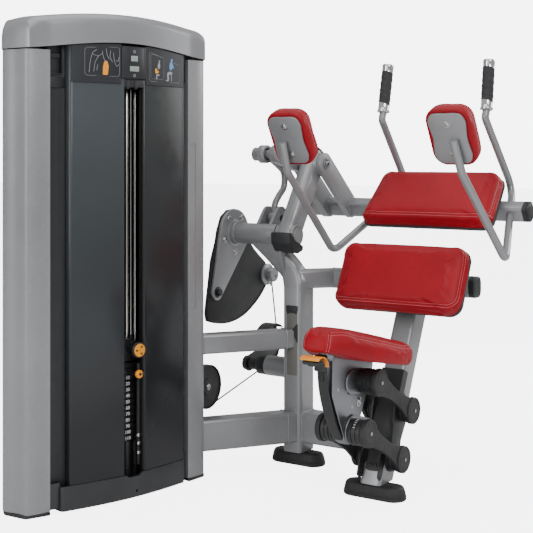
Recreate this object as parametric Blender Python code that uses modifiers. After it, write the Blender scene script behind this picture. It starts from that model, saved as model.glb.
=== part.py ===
# Abdominal crunch machine: weight tower, welded frame, adjustable seat and a
# two-stage movement arm. Metres, +Z up, origin on the floor under the front foot.
# The user sits facing -Y, so the user's left is +X; the tower stands on the -X side.
import math
import bpy
import bmesh
import numpy as np
from mathutils import Vector, Matrix

# ------------------------------------------------------------------ shared dimensions
GAP = 0.0004                      # running gap between neighbouring solids
WIDE_GAP = 0.0005                 # gap behind the pads and above the guide rods
SHARP_ANGLE = math.radians(35)
# tower: "along" runs left to right on its front, "depth" runs back into it
TOWER_X, TOWER_Y = -0.8645, -0.914      # front left corner
ALONG_X, ALONG_Y = 0.2311, 0.9729       # direction of "along"
TOWER_WIDTH = 0.792
# axes that run along X, as (y, z)
ARM_AXIS = (0.195, 0.932)
UPPER_AXIS = (0.380, 1.222)       # joint between the two arm stages
CRANK = (0.1925, 1.262)
ROD_FOOT = (0.264, 0.995)
CROSS_BAR = (0.600, 1.034)
STUB = (0.270, 0.377)
UPPER_LINK_FRAME, LOWER_LINK_FRAME = (0.126, 0.304), (0.046, 0.139)
UPPER_LINK_SEAT, LOWER_LINK_SEAT = (-0.132, 0.450), (-0.212, 0.285)
# parts that turn on those axes
SHAFT_R = 0.0250
HUB_R, HUB_HALF = 0.046, 0.096
PIN_R = 0.012

# ------------------------------------------------------------------ set up
for old in list(bpy.data.objects):
    bpy.data.objects.remove(old, do_unlink=True)
PARTS = bpy.data.collections.new("ab_crunch_machine")
TOOLS = bpy.data.collections.new("cutters")
for collection in (PARTS, TOOLS):
    bpy.context.scene.collection.children.link(collection)


def material(name, colour, roughness, metallic=0.0, alpha=1.0):
    mat = bpy.data.materials.new(name)
    mat.use_nodes = True
    inputs = mat.node_tree.nodes["Principled BSDF"].inputs
    inputs["Base Color"].default_value = (*colour, 1.0)
    inputs["Roughness"].default_value = roughness
    inputs["Metallic"].default_value = metallic
    inputs["Alpha"].default_value = alpha
    mat.diffuse_color = (*colour, alpha)
    return mat


FRAME_PAINT = material("frame_paint", colour=(0.34, 0.35, 0.37), roughness=0.35, metallic=0.6)
TOWER_PAINT = material("tower_paint", colour=(0.33, 0.34, 0.36), roughness=0.35, metallic=0.5)
BLACK = material("black_plastic", colour=(0.025, 0.026, 0.028), roughness=0.45)
STEEL = material("black_steel", colour=(0.03, 0.03, 0.032), roughness=0.4, metallic=0.3)
SMOKED = material("smoked_panel", colour=(0.05, 0.065, 0.085), roughness=0.12, alpha=0.6)
UPHOLSTERY = material("red_upholstery", colour=(0.46, 0.02, 0.035), roughness=0.45)
RUBBER = material("grip_rubber", colour=(0.05, 0.05, 0.052), roughness=0.7)
CHROME = material("chrome", colour=(0.75, 0.75, 0.76), roughness=0.12, metallic=1.0)
ORANGE = material("orange_plastic", colour=(0.85, 0.33, 0.03), roughness=0.4)
CARD = material("placard", colour=(0.6, 0.6, 0.6), roughness=0.5)
CASTING = material("seat_casting", colour=(0.45, 0.45, 0.47), roughness=0.3, metallic=0.8)
CABLE = material("cable", colour=(0.02, 0.02, 0.02), roughness=0.5)

# ------------------------------------------------------------------ frames of reference
LEVEL = Matrix.Identity(4)
# (along, depth, z) of the tower to world
TOWER = Matrix(((ALONG_X, -ALONG_Y, 0, TOWER_X), (ALONG_Y, ALONG_X, 0, TOWER_Y),
                (0, 0, 1, 0), (0, 0, 0, 1)))
# a flat outline drawn as (y, z), with its normal along X
SIDE = Matrix(((0, 0, 1, 0), (1, 0, 0, 0), (0, 1, 0, 0), (0, 0, 0, 1)))


def tower_point(along, depth, z=0.0):
    return Vector((TOWER_X + along * ALONG_X - depth * ALONG_Y,
                   TOWER_Y + along * ALONG_Y + depth * ALONG_X, z))


def rotation_to(direction, up):
    """Rotation with local Z on the direction and local X as near as possible to up."""
    z = Vector(direction).normalized()
    x = Vector(up)
    x = (x - z * x.dot(z)).normalized()
    y = z.cross(x)
    return Matrix((x, y, z)).transposed().to_4x4()


def pad_frame(origin, along, normal):
    """Local X along the pad's width, Y up its length, Z out of its face."""
    y = Vector((0, *along)).normalized()
    z = Vector((0, *normal)).normalized()
    return Matrix.Translation(origin) @ Matrix((y.cross(z), y, z)).transposed().to_4x4()


# ------------------------------------------------------------------ solids, as bmeshes
def place(solid, frame):
    bmesh.ops.transform(solid, matrix=frame, verts=solid.verts)
    bmesh.ops.recalc_face_normals(solid, faces=solid.faces)
    return solid


def evaluated(ob):
    """Solid of an object with its modifiers applied, in world space."""
    graph = bpy.context.evaluated_depsgraph_get()
    mesh = bpy.data.meshes.new_from_object(ob.evaluated_get(graph))
    mesh.transform(ob.matrix_world)
    solid = bmesh.new()
    solid.from_mesh(mesh)
    bpy.data.meshes.remove(mesh)
    return solid


def weld(solid, distance=1e-5):
    bmesh.ops.remove_doubles(solid, verts=solid.verts, dist=distance)
    bmesh.ops.dissolve_degenerate(solid, edges=solid.edges, dist=1e-7)
    bmesh.ops.recalc_face_normals(solid, faces=solid.faces)
    return solid


def bar(start, end, width, height, corner, up=(1, 0, 0), segments=2):
    """Rounded rectangular bar from start to end; width is its size along up."""
    start, end = Vector(start), Vector(end)
    length = (end - start).length
    solid = bmesh.new()
    bmesh.ops.create_cube(solid, size=1.0)
    bmesh.ops.scale(solid, vec=(width, height, length), verts=solid.verts)
    long_edges = [e for e in solid.edges
                  if abs((e.verts[0].co - e.verts[1].co).z) > length * 0.9]
    bmesh.ops.bevel(solid, geom=long_edges, offset=corner, segments=segments, profile=0.5,
                    affect='EDGES')
    return place(solid, Matrix.Translation((start + end) / 2) @ rotation_to(end - start, up))


def box(low, high, bevel=0.0, segments=1, frame=LEVEL):
    low, high = Vector(low), Vector(high)
    solid = bmesh.new()
    bmesh.ops.create_cube(solid, size=1.0)
    bmesh.ops.scale(solid, vec=high - low, verts=solid.verts)
    bmesh.ops.translate(solid, vec=(low + high) / 2, verts=solid.verts)
    if bevel > 0:
        bmesh.ops.bevel(solid, geom=list(solid.edges), offset=bevel, segments=segments,
                        profile=0.5, affect='EDGES')
    return place(solid, frame)


def rod(start, end, radius, segments=20):
    start, end = Vector(start), Vector(end)
    axis = end - start
    solid = bmesh.new()
    bmesh.ops.create_cone(solid, cap_ends=True, segments=segments, radius1=radius,
                          radius2=radius, depth=axis.length)
    up = (1, 0, 0) if abs(axis.normalized().x) < 0.9 else (0, 1, 0)
    return place(solid, Matrix.Translation((start + end) / 2) @ rotation_to(axis, up))


def rod_x(axis, x0, x1, radius, segments=20):
    """Round bar along X about a (y, z) axis."""
    return rod((x0, *axis), (x1, *axis), radius, segments)


def curve_solid(curve, points, cyclic=False, frame=LEVEL):
    """Solid of a curve given one polyline of 3D points."""
    spline = curve.splines.new('POLY')
    spline.points.add(len(points) - 1)
    for knot, point in zip(spline.points, points):
        knot.co = (*point, 1)
    spline.use_cyclic_u = cyclic
    ob = bpy.data.objects.new("curve", curve)
    TOOLS.objects.link(ob)
    ob.matrix_world = frame
    bpy.context.view_layer.update()
    solid = evaluated(ob)
    bpy.data.objects.remove(ob)
    return weld(solid)


def flat(outline, low, high, frame=SIDE):
    """Filled outline, extruded from low to high along its normal."""
    curve = bpy.data.curves.new("outline", 'CURVE')
    curve.dimensions = '2D'
    curve.fill_mode = 'BOTH'
    curve.extrude = (high - low) / 2
    return curve_solid(curve, [(point[0], point[1], 0) for point in outline], True,
                       frame @ Matrix.Translation((0, 0, (low + high) / 2)))


def tube(points, radius, resolution=3):
    """Solid round bar along a polyline."""
    curve = bpy.data.curves.new("tube", 'CURVE')
    curve.dimensions = '3D'
    curve.bevel_depth = radius
    curve.bevel_resolution = resolution
    curve.use_fill_caps = True
    return curve_solid(curve, points)


def turned(profile, frame, steps):
    """Closed (radius, height) profile spun round the local Z axis by a Screw modifier."""
    mesh = bpy.data.meshes.new("profile")
    count = len(profile)
    mesh.from_pydata([(radius, 0, height) for radius, height in profile],
                     [(i, (i + 1) % count) for i in range(count)], [])
    ob = bpy.data.objects.new("profile", mesh)
    TOOLS.objects.link(ob)
    screw = ob.modifiers.new("Screw", 'SCREW')
    screw.steps = screw.render_steps = steps
    screw.use_merge_vertices = True
    screw.merge_threshold = 0.0001
    bpy.context.view_layer.update()
    solid = evaluated(ob)
    bpy.data.objects.remove(ob)
    bmesh.ops.transform(solid, matrix=frame, verts=solid.verts)
    return weld(solid)


def loft(sections, closed=True):
    """Skin through rings of equal length; closed rings are also capped at both ends."""
    solid = bmesh.new()
    rings = [[solid.verts.new(p) for p in section] for section in sections]
    count = len(rings[0])
    for ring, following in zip(rings, rings[1:]):
        for i in range(count if closed else count - 1):
            j = (i + 1) % count
            solid.faces.new((ring[i], ring[j], following[j], following[i]))
    if closed:
        solid.faces.new(rings[0][::-1])
        solid.faces.new(rings[-1])
    bmesh.ops.recalc_face_normals(solid, faces=solid.faces)
    return solid


def work_object(solid):
    mesh = bpy.data.meshes.new("work")
    solid.to_mesh(mesh)
    solid.free()
    ob = bpy.data.objects.new("work", mesh)
    TOOLS.objects.link(ob)
    return ob


def combine(base, adds=(), cuts=()):
    """Weld solids into one body and cut the openings, with exact Booleans."""
    body = work_object(base)
    temporary = [body]
    for operation, group in (('UNION', adds), ('DIFFERENCE', cuts)):
        for solid in group:
            tool = work_object(solid)
            temporary.append(tool)
            boolean = body.modifiers.new("Boolean", 'BOOLEAN')
            boolean.operation = operation
            boolean.solver = 'EXACT'
            boolean.object = tool
    bpy.context.view_layer.update()
    result = evaluated(body)
    for ob in temporary:
        bpy.data.objects.remove(ob)
    return weld(result, 1e-6)


def part(name, solid, mat, pivot=(0, 0, 0)):
    """Finished object with its origin at the pivot."""
    bmesh.ops.translate(solid, vec=-Vector(pivot), verts=solid.verts)
    mesh = bpy.data.meshes.new(name)
    solid.to_mesh(mesh)
    solid.free()
    mesh.materials.append(mat)
    mesh.shade_smooth()
    mesh.set_sharp_from_angle(angle=SHARP_ANGLE)
    ob = bpy.data.objects.new(name, mesh)
    ob.location = pivot
    PARTS.objects.link(ob)
    return ob


# ------------------------------------------------------------------ outlines
def arc(centre, radius, start, end, steps):
    """Points of an arc about a (y, z) centre, from start to end degrees."""
    angles = [math.radians(start + (end - start) * i / steps) for i in range(steps + 1)]
    return [(centre[0] + radius * math.cos(a), centre[1] + radius * math.sin(a)) for a in angles]


def wrap(circles, count=20):
    """Convex outline round a set of (y, z, radius) circles."""
    points = sorted((y + radius * math.cos(2 * math.pi * i / count),
                     z + radius * math.sin(2 * math.pi * i / count))
                    for y, z, radius in circles for i in range(count))

    def half_hull(sequence):
        hull = []
        for p in sequence:
            while len(hull) > 1 and (
                    (hull[-1][0] - hull[-2][0]) * (p[1] - hull[-2][1])
                    - (hull[-1][1] - hull[-2][1]) * (p[0] - hull[-2][0])) <= 1e-10:
                hull.pop()
            hull.append(p)
        return hull[:-1]
    return half_hull(points) + half_hull(points[::-1])


def strip(path, thickness):
    """Closed outline of a sheet; the path is its outer face."""
    inner = []
    for i, p in enumerate(path):
        before = Vector(path[max(i - 1, 0)])
        after = Vector(path[min(i + 1, len(path) - 1)])
        run = (after - before).normalized()
        inner.append((p[0] - run.y * thickness, p[1] + run.x * thickness))
    return list(path) + inner[::-1]


def rounded(points, radii, steps=5):
    """Polyline with its inner corners rounded to the given radii; 0 leaves one sharp."""
    points = [Vector(p) for p in points]
    path = [points[0]]
    for before, corner, after, radius in zip(points, points[1:], points[2:], radii):
        if radius <= 0:
            path.append(corner)
            continue
        back, ahead = (before - corner).normalized(), (after - corner).normalized()
        slope = math.tan(back.angle(ahead) / 2)
        cut = min(radius / slope, (before - corner).length * 0.48,
                  (after - corner).length * 0.48)
        reach = cut * slope / math.sin(back.angle(ahead) / 2)
        centre = corner + (back + ahead).normalized() * reach
        start, end = corner + back * cut - centre, corner + ahead * cut - centre
        total = start.angle(end)
        for k in range(steps + 1):
            f = k / steps
            blend = start * math.sin((1 - f) * total) + end * math.sin(f * total)
            path.append(centre + blend / math.sin(total))
    path.append(points[-1])
    return path


# ------------------------------------------------------------------ tower shell
BASE_TOP = 0.012
SHELL_Z0 = BASE_TOP + GAP
SHELL_TOP, CAP_TOP = 1.628, 1.770
SHELL_Z1 = SHELL_TOP - GAP
POST_WIDTH, POST_SHEET = 0.088, 0.006
PANEL_LEFT = POST_WIDTH + 0.001
PANEL_RIGHT = TOWER_WIDTH - PANEL_LEFT
SLOT_LEFT, SLOT_RIGHT = 0.376, 0.4665     # open slot between the two panels
PANEL_SHEET = 0.004
SHROUD_TOP = 0.100
REAR_DEPTH = 0.285
PLACARD_Z0, PLACARD_Z1, PLACARD_SHEET = 1.525, 1.6265, 0.003

# (along, depth) of the left post's outer face, from the front inner edge round to the rear
LEFT_POST = [(POST_WIDTH, 0.060), (POST_WIDTH, -0.014), (0.045, -0.012), (0.012, -0.006),
             (-0.004, 0.006), (-0.020, 0.045), (-0.030, 0.098), (-0.024, 0.118),
             (-0.008, 0.140), (0.030, 0.190), (0.095, REAR_DEPTH)]
# (along, depth) of the base's left end, from the rear round to the front
BASE_LEFT = [(0.094, 0.284), (0.030, 0.188), (-0.008, 0.138), (-0.026, 0.100),
             (-0.016, 0.047), (0.0, 0.010), (0.014, 0.0)]


def mirrored(points):
    """Tower outline reflected about the middle of its width."""
    return [(TOWER_WIDTH - along, depth) for along, depth in points]


def bow(along):
    """How far the tower's front stands proud of the line between its corners."""
    f = min(max((along - 0.080) / 0.632, 0.0), 1.0)
    return 0.012 + 0.036 * math.sin(math.pi * f)


def bowed_path(start, end, steps, proud=0.0):
    stations = [start + (end - start) * i / steps for i in range(steps + 1)]
    return [(along, -(bow(along) + proud)) for along in stations]


part("tower_base", flat(BASE_LEFT + bowed_path(0.10, 0.69, 8, -0.004)
                        + mirrored(BASE_LEFT[::-1]), 0.0, BASE_TOP, TOWER), STEEL)

for name, path in (("left_post", LEFT_POST[::-1]), ("right_post", mirrored(LEFT_POST))):
    part(name, flat(strip(path, POST_SHEET), SHELL_Z0, SHELL_Z1, TOWER), TOWER_PAINT)

part("base_shroud",
     combine(flat(strip(bowed_path(PANEL_LEFT, PANEL_RIGHT, 10), 0.014),
                  SHELL_Z0, SHROUD_TOP, TOWER),
             cuts=[box((0.425, -0.09, 0.025), (0.475, 0.05, 0.15), frame=TOWER)]), BLACK)

# front panels and the placards on them: side, panel span, placard span
for side, panel, placard in (("left", (PANEL_LEFT, SLOT_LEFT), (0.165, 0.366)),
                             ("right", (SLOT_RIGHT, PANEL_RIGHT), (0.480, 0.680))):
    part(side + "_panel", flat(strip(bowed_path(*panel, 6), PANEL_SHEET),
                               SHROUD_TOP + GAP, SHELL_Z1, TOWER), SMOKED)
    part(side + "_placard", flat(strip(bowed_path(*placard, 4, PLACARD_SHEET + GAP),
                                       PLACARD_SHEET), PLACARD_Z0, PLACARD_Z1, TOWER), CARD)

rear_near = REAR_DEPTH + GAP
rear_far = rear_near + PANEL_SHEET
rear_right = TOWER_WIDTH - POST_WIDTH
part("rear_panel", flat([(POST_WIDTH, rear_near), (rear_right, rear_near),
                         (rear_right, rear_far), (POST_WIDTH, rear_far)],
                        SHELL_Z0, 1.60, TOWER), BLACK)
part("rep_counter", box((0.380, -0.062, 1.540), (0.4635, -0.030, PLACARD_Z1), 0.006, 1, TOWER),
     BLACK)

# cap: stations along the tower where a section is taken
CAP_STATIONS = [-0.034, -0.030, -0.018, 0.003, 0.030, 0.060, 0.096, 0.15, 0.22, 0.32, 0.396,
                0.47, 0.57, 0.642, 0.696, 0.732, 0.762, 0.789, 0.810, 0.822, 0.826]
CAP_ROUND = 0.075                 # length of the rounded fall at each end
CAP_END_Z = 1.655                 # top of the cap at its very ends
# rear depth of the cap against distance in from its end
CAP_BACK_EDGE = [0.0, 0.010, 0.026, 0.064, 0.130]
CAP_BACK_DEPTH = [0.104, 0.124, 0.146, 0.196, 0.2965]


def cap_section(along):
    """Open ring of the cap: up the front, over the top, down the back."""
    edge = min(along - CAP_STATIONS[0], CAP_STATIONS[-1] - along)
    round_in = math.sqrt(max(1 - (1 - min(edge / CAP_ROUND, 1.0)) ** 2, 0.0))
    f = min(max(along / TOWER_WIDTH, 0.0), 1.0)
    crown = 0.036 * (1 - math.sin(math.pi * f) ** 0.8)
    top = CAP_END_Z + (CAP_TOP - CAP_END_Z - crown) * round_in
    front = 0.110 * (1 - round_in) - (bow(along) + 0.010)
    back = float(np.interp(edge, CAP_BACK_EDGE, CAP_BACK_DEPTH))
    radius = min(0.030, (top - SHELL_TOP) * 0.6, (back - front) * 0.4)
    ring = [(front, SHELL_TOP), (front, top - radius)]
    for k in range(1, 4):
        turn = math.pi / 2 * k / 4
        ring.append((front + radius - radius * math.cos(turn),
                     top - radius + radius * math.sin(turn)))
    ring += [(front + radius, top), (back - radius, top),
             (back - 0.3 * radius, top - 0.3 * radius), (back, top - radius),
             (back, SHELL_TOP)]
    return [tower_point(along, depth, z) for depth, z in ring]


def tower_cap():
    """Hollow cap, open below, thickened inwards by a Solidify modifier."""
    sections = [cap_section(along) for along in CAP_STATIONS]
    cap = loft(sections, closed=False)
    verts = list(cap.verts)
    count = len(sections[0])
    cap.faces.new(verts[:count])
    cap.faces.new(verts[-count:])
    bmesh.ops.recalc_face_normals(cap, faces=cap.faces)
    # the surface is open below, so make sure that it faces outwards
    centre = tower_point(TOWER_WIDTH / 2, 0.15, 1.70)
    if sum((f.calc_center_median() - centre).dot(f.normal) for f in cap.faces) < 0:
        bmesh.ops.reverse_faces(cap, faces=cap.faces)
    shell = part("tower_cap", cap, TOWER_PAINT).modifiers.new("Solidify", 'SOLIDIFY')
    shell.thickness = 0.005
    shell.offset = -1


tower_cap()

# ------------------------------------------------------------------ weight stack
STACK_ALONG, STACK_DEPTH = 0.468, 0.035   # lifting rod of the weight stack
STACK_Z0, PLATE_H = 0.1945, 0.0225
PLATES_REST, PLATES_UP = 11, 2
PLATE_HALF, HEAD_HALF = 0.150, 0.118
GUIDES = {"left": STACK_ALONG - 0.020, "right": STACK_ALONG + 0.020}
GUIDE_BORE, STEM_BORE = 0.0100, 0.0110
SPLIT_Z = STACK_Z0 + PLATES_REST * PLATE_H
HEAD_Z = SPLIT_Z + PLATES_UP * PLATE_H
HEAD_TOP = HEAD_Z + 0.088
PIN_ALONG, PIN_Z = 0.441, SPLIT_Z + 0.5 * PLATE_H
CROSSMEMBER_Z = 1.599
TOP_PULLEY, TOP_PULLEY_R = (0.095, 1.530), 0.060     # centre as (depth, z)
CHEEK_NEAR, CHEEK_FAR = 0.028, 0.036      # pulley cheeks, out from the lifting rod


def stack_rod(along, z0, z1, radius, segments=14):
    """Vertical round bar at the stack's depth."""
    return rod(tower_point(along, STACK_DEPTH, z0), tower_point(along, STACK_DEPTH, z1),
               radius, segments)


for side, along in GUIDES.items():
    part("guide_rod_" + side, stack_rod(along, SHELL_Z0, CROSSMEMBER_Z - WIDE_GAP, 0.008), CHROME)
    part("stack_bumper_" + side,
         turned([(0.018, STACK_Z0 - GAP), (0.018, SHELL_Z0), (0.0088, SHELL_Z0),
                 (0.0088, STACK_Z0 - GAP)],
                Matrix.Translation(tower_point(along, STACK_DEPTH)), 16), BLACK)

# crossmember with two cheeks and the axle of the top pulley
axle_half = (CHEEK_NEAR + CHEEK_FAR) / 2
part("top_crossmember",
     combine(box((0.10, 0.015, CROSSMEMBER_Z), (0.69, 0.150, 1.619), frame=TOWER),
             adds=[box((STACK_ALONG + low, 0.070, 1.50), (STACK_ALONG + high, 0.120, 1.605),
                       frame=TOWER)
                   for low, high in ((-CHEEK_FAR, -CHEEK_NEAR), (CHEEK_NEAR, CHEEK_FAR))]
             + [rod(tower_point(STACK_ALONG - axle_half, *TOP_PULLEY),
                    tower_point(STACK_ALONG + axle_half, *TOP_PULLEY), 0.008, 14)]), STEEL)


def pulley_profile(radius, bore, half=0.010):
    """Grooved (radius, height) section of a pulley; half is half its width."""
    groove = radius - 0.011
    return [(radius, half), (radius, half * 0.72), (groove, half * 0.45),
            (groove, -half * 0.45), (radius, -half * 0.72), (radius, -half),
            (radius * 0.86, -half * 0.75), (bore, -half * 0.9), (bore, half * 0.9),
            (radius * 0.86, half * 0.75)]


part("top_pulley",
     turned(pulley_profile(TOP_PULLEY_R, 0.0090),
            TOWER @ Matrix.Translation((STACK_ALONG, *TOP_PULLEY)) @ SIDE, 18),
     BLACK, tower_point(STACK_ALONG, *TOP_PULLEY))


def plate_stack(z0, count, extra_cuts=()):
    """Weight plates with a fine groove between them, bored for rods and stem."""
    front, back, groove, inset = 0.012, 0.100, 0.0155, 0.0012
    outline = []                  # (depth, z)
    for i in range(count):
        low, high = z0 + i * PLATE_H, z0 + (i + 1) * PLATE_H
        outline += [(front, low + inset), (front, high - inset)]
        if i < count - 1:
            outline += [(groove, high - inset * 0.6), (groove, high + inset * 0.6)]
    top = z0 + count * PLATE_H
    outline += [(back, top - inset), (back, z0 + inset)]
    bores = [stack_rod(along, z0 - 0.01, top + 0.01, radius)
             for along, radius in ((GUIDES["left"], GUIDE_BORE), (GUIDES["right"], GUIDE_BORE),
                                   (STACK_ALONG, STEM_BORE))]
    return combine(flat(outline, STACK_ALONG - PLATE_HALF, STACK_ALONG + PLATE_HALF,
                        TOWER @ SIDE), cuts=[*bores, *extra_cuts])


part("resting_plates", plate_stack(STACK_Z0, PLATES_REST), STEEL)
part("lifted_plates", plate_stack(SPLIT_Z, PLATES_UP, [
    rod(tower_point(PIN_ALONG, 0.0, PIN_Z), tower_point(PIN_ALONG, 0.0232, PIN_Z),
        0.0062, 12)]), STEEL)

# head block with the stem that runs down through the plates
part("stack_head",
     combine(box((STACK_ALONG - HEAD_HALF, 0.016, HEAD_Z + GAP),
                 (STACK_ALONG + HEAD_HALF, 0.096, HEAD_TOP), 0.006, 1, TOWER),
             adds=[stack_rod(STACK_ALONG, STACK_Z0 + 0.02, HEAD_TOP + 0.012, 0.0075, 12)],
             cuts=[stack_rod(along, HEAD_Z - 0.01, HEAD_TOP + 0.02, GUIDE_BORE)
                   for along in GUIDES.values()]), STEEL)

OUTWARD = Vector((ALONG_Y, -ALONG_X, 0))  # out of the tower's front
DIAL = tower_point(PIN_ALONG, -0.0485, 0.541)
dial_face = DIAL + OUTWARD * 0.010
dial_reach = Vector((0, 0, 0.022))
part("add_weight_dial",
     combine(rod(DIAL, DIAL + OUTWARD * 0.012, 0.028, 24),
             adds=[rod(DIAL - OUTWARD * 0.0640, DIAL + OUTWARD * 0.002, 0.0100),
                   bar(dial_face - dial_reach, dial_face + dial_reach, 0.012, 0.012, 0.003,
                       OUTWARD)]), ORANGE, DIAL)

PIN = tower_point(PIN_ALONG, 0.0, PIN_Z)
part("selector_pin",
     combine(rod(PIN - OUTWARD * 0.0222, PIN + OUTWARD * 0.040, 0.0050, 12),
             adds=[rod(PIN + OUTWARD * 0.030, PIN + OUTWARD * 0.052, 0.0090, 16),
                   rod(PIN + OUTWARD * 0.049, PIN + OUTWARD * 0.061, 0.0150)]), ORANGE, PIN)
part("tower_cable", stack_rod(STACK_ALONG, HEAD_TOP + 0.0125, TOP_PULLEY[1], 0.0035, 10), CABLE)

# ------------------------------------------------------------------ frame
FOOT_H = 0.052
REAR_X, REAR_Y = -0.486, 0.243            # rear column
COLUMN_W, COLUMN_DEPTH, COLUMN_CORNER = 0.078, 0.106, 0.022
COLUMN_TOP = 0.850
HOUSING_R = 0.0435
PIN_BORE_R = PIN_R + 0.0008


def leaning_column():
    """Front column leaning towards +Y, with level ends."""
    ring = []
    for side_x, side_y, start in ((1, 1, 0), (-1, 1, 90), (-1, -1, 180), (1, -1, 270)):
        for k in range(5):
            turn = math.radians(start + 90 * k / 4)
            ring.append((side_x * (COLUMN_W / 2 - COLUMN_CORNER) + COLUMN_CORNER * math.cos(turn),
                         side_y * (COLUMN_DEPTH / 2 - COLUMN_CORNER)
                         + COLUMN_CORNER * math.sin(turn)))
    return loft([[(x, y + 0.0046 + 0.4742 * (z - 0.0325), z) for x, y in ring]
                 for z in (FOOT_H + GAP, COLUMN_TOP)])


rod_ear = wrap([(*ROD_FOOT, 0.030), (ARM_AXIS[0] + 0.030, ARM_AXIS[1] + 0.010, 0.022),
                (ARM_AXIS[0] - 0.005, ARM_AXIS[1] + 0.020, 0.018)])
frame_members = [
    # rear column
    bar((REAR_X, REAR_Y, FOOT_H + GAP), (REAR_X, REAR_Y, 0.760), 0.088, 0.112, 0.022),
    # two rails from the tower to the rear column
    *[bar((-0.776, -0.196, z), (REAR_X, 0.297, z), width, height, 0.014, (0.862, -0.507, 0))
      for z, width, height in ((0.1545, 0.090, 0.122), (0.5120, 0.070, 0.078))],
    # low member from the rear column to the front one
    bar((REAR_X, REAR_Y, 0.1550), (-0.292, REAR_Y, 0.1550), 0.100, 0.122, 0.014, (0, 1, 0)),
    bar((-0.318, 0.2515, 0.1550), (-0.014, 0.1162, 0.1550), 0.0985, 0.120, 0.014,
        (0.407, 0.914, 0)),
    # high cross tube and its angled end
    bar((-0.430, 0.375, 0.750), (0.220, 0.375, 0.750), 0.070, 0.080, 0.018, (0, 1, 0)),
    bar((-0.395, 0.385, 0.750), (-0.500, 0.215, 0.750), 0.060, 0.079, 0.016, (0.85, -0.52, 0)),
    # neck from the rear column up to the pivot housing
    bar((REAR_X, REAR_Y, 0.710), (-0.520, 0.232, 0.800), 0.074, 0.094, 0.020),
    bar((-0.512, 0.236, 0.775), (-0.655, 0.200, 0.930), 0.074, 0.070, 0.018, (0, 1, 0)),
    rod_x(ARM_AXIS, -0.765, -0.552, HOUSING_R, 28),
    # two ears and the pin that hold the foot of the link rod
    flat(rod_ear, -0.658, -0.644),
    flat(rod_ear, -0.596, -0.582),
    rod_x(ROD_FOOT, -0.650, -0.590, 0.012, 14),
    # stub that carries the pulley bracket
    rod_x(STUB, -0.500, -0.744, 0.042, 24),
    # hubs for the seat links
    rod_x(UPPER_LINK_FRAME, -HUB_HALF, HUB_HALF, HUB_R, 24),
    rod_x(LOWER_LINK_FRAME, -HUB_HALF, HUB_HALF, HUB_R, 24),
    # rest of the lower back pad
    bar((-0.10, 0.2905, 0.752), (0.10, 0.2905, 0.752), 0.056, 0.050, 0.008, (0, 0.906, -0.423)),
    bar((0.0, 0.285, 0.757), (0.0, 0.350, 0.730), 0.070, 0.050, 0.008),
]
# right half of the tower, which trims the rails to its side
tower_side = flat([(0.40, -0.030), (TOWER_WIDTH - 0.012, -0.0125)]
                  + [(along + 0.0007, depth) for along, depth in mirrored(LEFT_POST[4:])]
                  + [(0.700, 0.300), (0.40, 0.300)], -0.01, 0.70, TOWER)
part("main_frame",
     combine(leaning_column(), frame_members,
             [tower_side, rod_x(ARM_AXIS, -0.790, -0.530, SHAFT_R + 0.0006, 28),
              rod_x(UPPER_LINK_FRAME, -0.110, 0.110, PIN_BORE_R),
              rod_x(LOWER_LINK_FRAME, -0.110, 0.110, PIN_BORE_R)]), FRAME_PAINT)


def stadium(x, y, length, width):
    radius = width / 2
    reach = length / 2 - radius
    return arc((x + reach, y), radius, -90, 90, 10) + arc((x - reach, y), radius, 90, 270, 10)


part("front_foot", flat(stadium(0, 0, 0.250, 0.100), 0.0, FOOT_H, LEVEL), BLACK)
part("rear_foot", flat(stadium(REAR_X, REAR_Y, 0.240, 0.116), 0.0, FOOT_H, LEVEL), BLACK)
part("cross_tube_cap", bar((0.2204, 0.375, 0.750), (0.246, 0.375, 0.750), 0.072, 0.082, 0.020,
                           (0, 1, 0)), BLACK)

# ------------------------------------------------------------------ pulleys and cables
CABLE_X = -0.790                  # plane of the low cables
LOW_PULLEY, REAR_PULLEY, PULLEY_R = (0.0175, 0.313), (0.462, 0.425), 0.090
BRACKET_X0, BRACKET_X1 = -0.7544, -0.7444
ANCHOR, ANCHOR_R = (0.450, 0.736), 0.049
CABLE_R = 0.004
WRAP_R = PULLEY_R - 0.0052        # radius of the cable's centre line on a pulley

part("pulley_bracket",
     combine(flat(wrap([(*LOW_PULLEY, 0.026), (*STUB, 0.050)]), BRACKET_X0, BRACKET_X1),
             adds=[flat(wrap([(*REAR_PULLEY, 0.030), (*STUB, 0.050)]), BRACKET_X0, BRACKET_X1)]
             + [rod_x(centre, -0.745, end, radius, 16)
                for end, radius in ((-0.804, 0.0100), (-0.776, 0.0160))
                for centre in (LOW_PULLEY, REAR_PULLEY)]), STEEL)
for name, centre in (("low_pulley", LOW_PULLEY), ("rear_pulley", REAR_PULLEY)):
    pulley_centre = (CABLE_X, *centre)
    part(name, turned(pulley_profile(PULLEY_R, 0.0110),
                      Matrix.Translation(pulley_centre) @ SIDE, 22), BLACK, pulley_centre)

# angle at which the cable leaves both pulleys on its lower run
tangent = math.degrees(math.atan2(REAR_PULLEY[1] - LOW_PULLEY[1],
                                  REAR_PULLEY[0] - LOW_PULLEY[0])) - 90
lower_run = (arc(REAR_PULLEY, WRAP_R, 4, tangent, 8) + arc(LOW_PULLEY, WRAP_R, tangent, -90, 2)
             + [(-0.080, LOW_PULLEY[1] - WRAP_R)])
part("lower_cable", tube([(CABLE_X, *p) for p in lower_run], CABLE_R, 2), CABLE)
leave = math.radians(6)
part("upper_cable",
     rod((CABLE_X, REAR_PULLEY[0] + WRAP_R * math.cos(leave),
          REAR_PULLEY[1] + WRAP_R * math.sin(leave) + 0.0006),
         (CABLE_X, ANCHOR[0] + ANCHOR_R * 0.75 + 0.018, ANCHOR[1] - 0.012), CABLE_R, 8), CABLE)


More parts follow.
